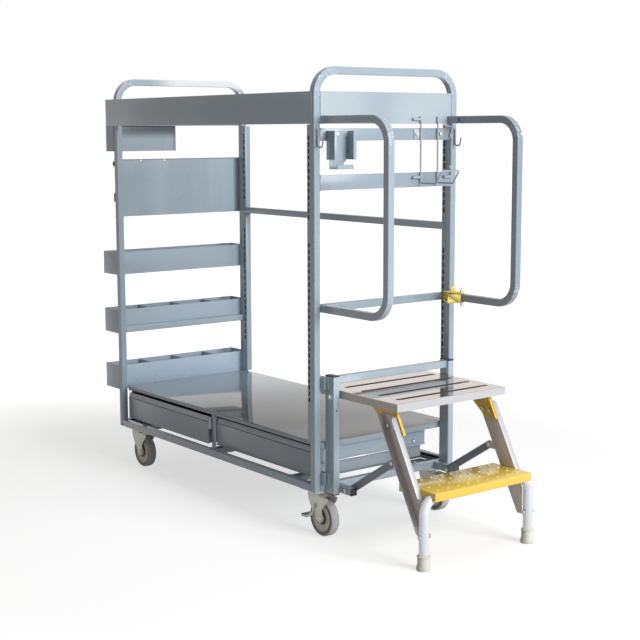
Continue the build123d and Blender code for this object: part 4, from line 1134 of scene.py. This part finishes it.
def foldBracket():
    # folded bracket of the lower rail pin, its face turned towards the ladder's near side
    low, high = [v.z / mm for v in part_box("rail_clevis")]
    plate = bracket["plate"]
    top = high - bracket["tab"]
    a = Vector(bracket["left"])
    b = Vector(bracket["right"])
    along = (b - a).normalized()
    back = Vector((-along.y, along.x)) * plate

    def sheet(p, q):
        return [(cartLong + v.x, v.y) for v in (p, q, q + back, p + back)]
    face = sheet(a, b)
    r = bracket["pinRadius"]
    cover = face[:2] + arc(cartLong + bracket["pinX"], bracket["pinY"], r, r, -0.25, 0.5, 8)
    x = cartLong + bracket["back"]
    cover += [(x, bracket["rear"]), (x, bracket["side"])]
    rear = rect(x, cartLong + plate, bracket["side"], bracket["rear"])
    tab = sheet(a + (b - a) * bracket["tabStart"], a + (b - a) * bracket["tabStop"])
    sheets = [(face, "Z", low, top), (rear, "Z", low, top), (cover, "Z", low, low + plate),
              (cover, "Z", top - plate, top), (tab, "Z", top - 2, high)]
    piece = sheetPiece("foldedBracket", sheets, "clevisYellow", "yellow_paint", rounded=bracket["edge"])
    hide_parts("rail_clevis")


def hangKeeper():
    # third upright wire of the rack, held on the post by two saddles, with a sleeve at each end
    x = cartLong + keeper["x"]
    y = keeper["y"]
    low = keeper["low"]
    high = keeper["high"]
    r = keeper["sleeve"]
    reach = keeper["reach"]
    bm = bmesh.new()
    turned(bm, rect(0.1, keeper["wire"], low, high), at(x, y, 0), (0, 0, 1), 16)
    for z in (low + keeper["sleeveIn"], high - keeper["sleeveIn"]):
        turned(bm, [(0.1, -4), (4.0, -4), (r, -2), (r, reach - 1), (r - 1, reach), (0.1, reach)],
               at(x, y, z), (0, -1, 0), 16)
    s = keeper["saddle"]
    for z in (low + keeper["saddleIn"], high - keeper["saddleIn"]):
        extruded(bm, rect(y - s, y + s, z - s, z + s), "X", cartLong, x + 1)
    newPiece("rackKeeper", bm, "wirePaint", "blue_grey_paint", rounded=keeper["edge"])


def lipShelf():
    x = cartLong + shelfLip["x"]
    front = x + shelfLip["sheet"]
    low = shelfLip["low"]
    high = shelfLip["high"]
    outline = [(x, low), (front, low + 1.5), (front, high - 0.8), ((x + front) / 2, high), (x, high - 0.8)]
    sheet = (outline, "Y", shelfLip["y0"], shelfLip["y1"])
    sheetPiece("shelfLip", [sheet], "panelPaint", "blue_grey_paint")


# sheet details: board rivets, creases and returns of the drawer fronts (black for a painted shadow line,
# white for painted light), cabinet hem in bright metal for a painted highlight, box front, corner plates in
# dark paint for painted shade

boardRivet = {"places": (121, 231), "z": 1226.0, "radius": 4.2, "rise": 1.8}
crease = {"z": 281.5, "half": 1.8, "proud": 0.45, "sunk": 0.4, "bend": 0.6}
frontReturn = {"edge": [(1.5, 254), (12, 254), (12, 281), (13, 300), (7.5, 300), (1.5, 281)],
               "sunk": 0.2, "proud": 0.5}
hem = {"half": 2.6, "proud": 2.0, "ends": 5.0, "sunk": 0.3, "bend": 0.7}
boxFace = {"x0": -58.0, "x1": 0.0, "sheet": 2.0, "gap": 0.1, "lap": 0.2}
cornerPlate = {"low": 156.0, "high": 158.5, "pad": 114.0, "tube": 156.0, "wide": 80.0, "lap": 1.0}


def bulge(base, z, look, way):
    # low rounded ridge on a face, standing out one way along an axis
    h = look["half"]
    root = base - way * look["sunk"]
    proud = way * look["proud"]
    bend = look["bend"] * h
    return [(root, z - h), (base + 0.7 * proud, z - bend), (base + proud, z), (base + 0.7 * proud, z + bend),
            (root, z + h)]


def rivetBoard():
    points = [at(0, y, boardRivet["z"]) for y in boardRivet["places"]]
    repeat("boardRivets", dome(boardRivet["radius"], boardRivet["rise"]), points, "tubeMetal",
           turn=(0, math.pi / 2, 0))


def creaseDrawers():
    for side in ("left", "right"):
        body = "drawer_" + side
        low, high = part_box(body)
        x0, face = fromFoot(low)
        x1 = fromFoot(high)[0]
        # dark ridge under the fold, in black: a painted shadow line
        ridge = (bulge(face, crease["z"], crease, -1), "X", x0 + 1, x1 - 1)
        sheetPiece("frontCrease_" + side, [ridge], "capBlack", "blue_grey_paint", body)
        # return edge in white: painted light
        edge = [(face + y, z) for y, z in frontReturn["edge"]]
        strip = (edge, "X", x1 - frontReturn["sunk"], x1 + frontReturn["proud"])
        sheetPiece("frontReturn_" + side, [strip], "stripWhite", "zinc_plate", body)


def hemCabinet():
    # rolled edge along the bottom of the cabinet's ladder-end wall, in bright metal: a painted highlight
    low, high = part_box("drawer_cabinet")
    x, y1 = fromFoot(high)
    ridge = (bulge(x, low.z / mm, hem, 1), "Y", fromFoot(low)[1] + hem["ends"], y1 - hem["ends"])
    sheetPiece("cabinetHem", [ridge], "tubeMetal", "zinc_plate", smooth=True)


def faceBox():
    # front sheet of the document box, flush with the fascia above it
    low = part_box("document_box")[0].z / mm
    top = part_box("front_fascia")[0].z / mm + boxFace["lap"]
    sheet = (rect(boxFace["x0"], boxFace["x1"], low, top), "Y", -boxFace["sheet"], -boxFace["gap"])
    sheetPiece("boxFront", [sheet], "fasciaPaint", "blue_grey_paint")


def plateCorners():
    # sheet between each caster pad and the next cross tube, in the darker brace paint: painted shade
    lap = cornerPlate["lap"]
    x0 = cornerPlate["pad"]
    x1 = cornerPlate["tube"] - tubeSide / 2 + lap
    y0 = tubeSide - lap
    y1 = tubeSide + cornerPlate["wide"]
    sheets = [(rect(*ends, *sides), "Z", cornerPlate["low"], cornerPlate["high"])
              for ends in ((x0, x1), (cartLong - x1, cartLong - x0))
              for sides in ((y0, y1), (cartWide - y1, cartWide - y0))]
    sheetPiece("cornerPlates", sheets, "bracePaint", "blue_grey_paint")


ringBoots()
linePostHoles()
foldBracket()
hangKeeper()
lipShelf()
rivetBoard()
creaseDrawers()
hemCabinet()
faceBox()
plateCorners()
print("pieces done")
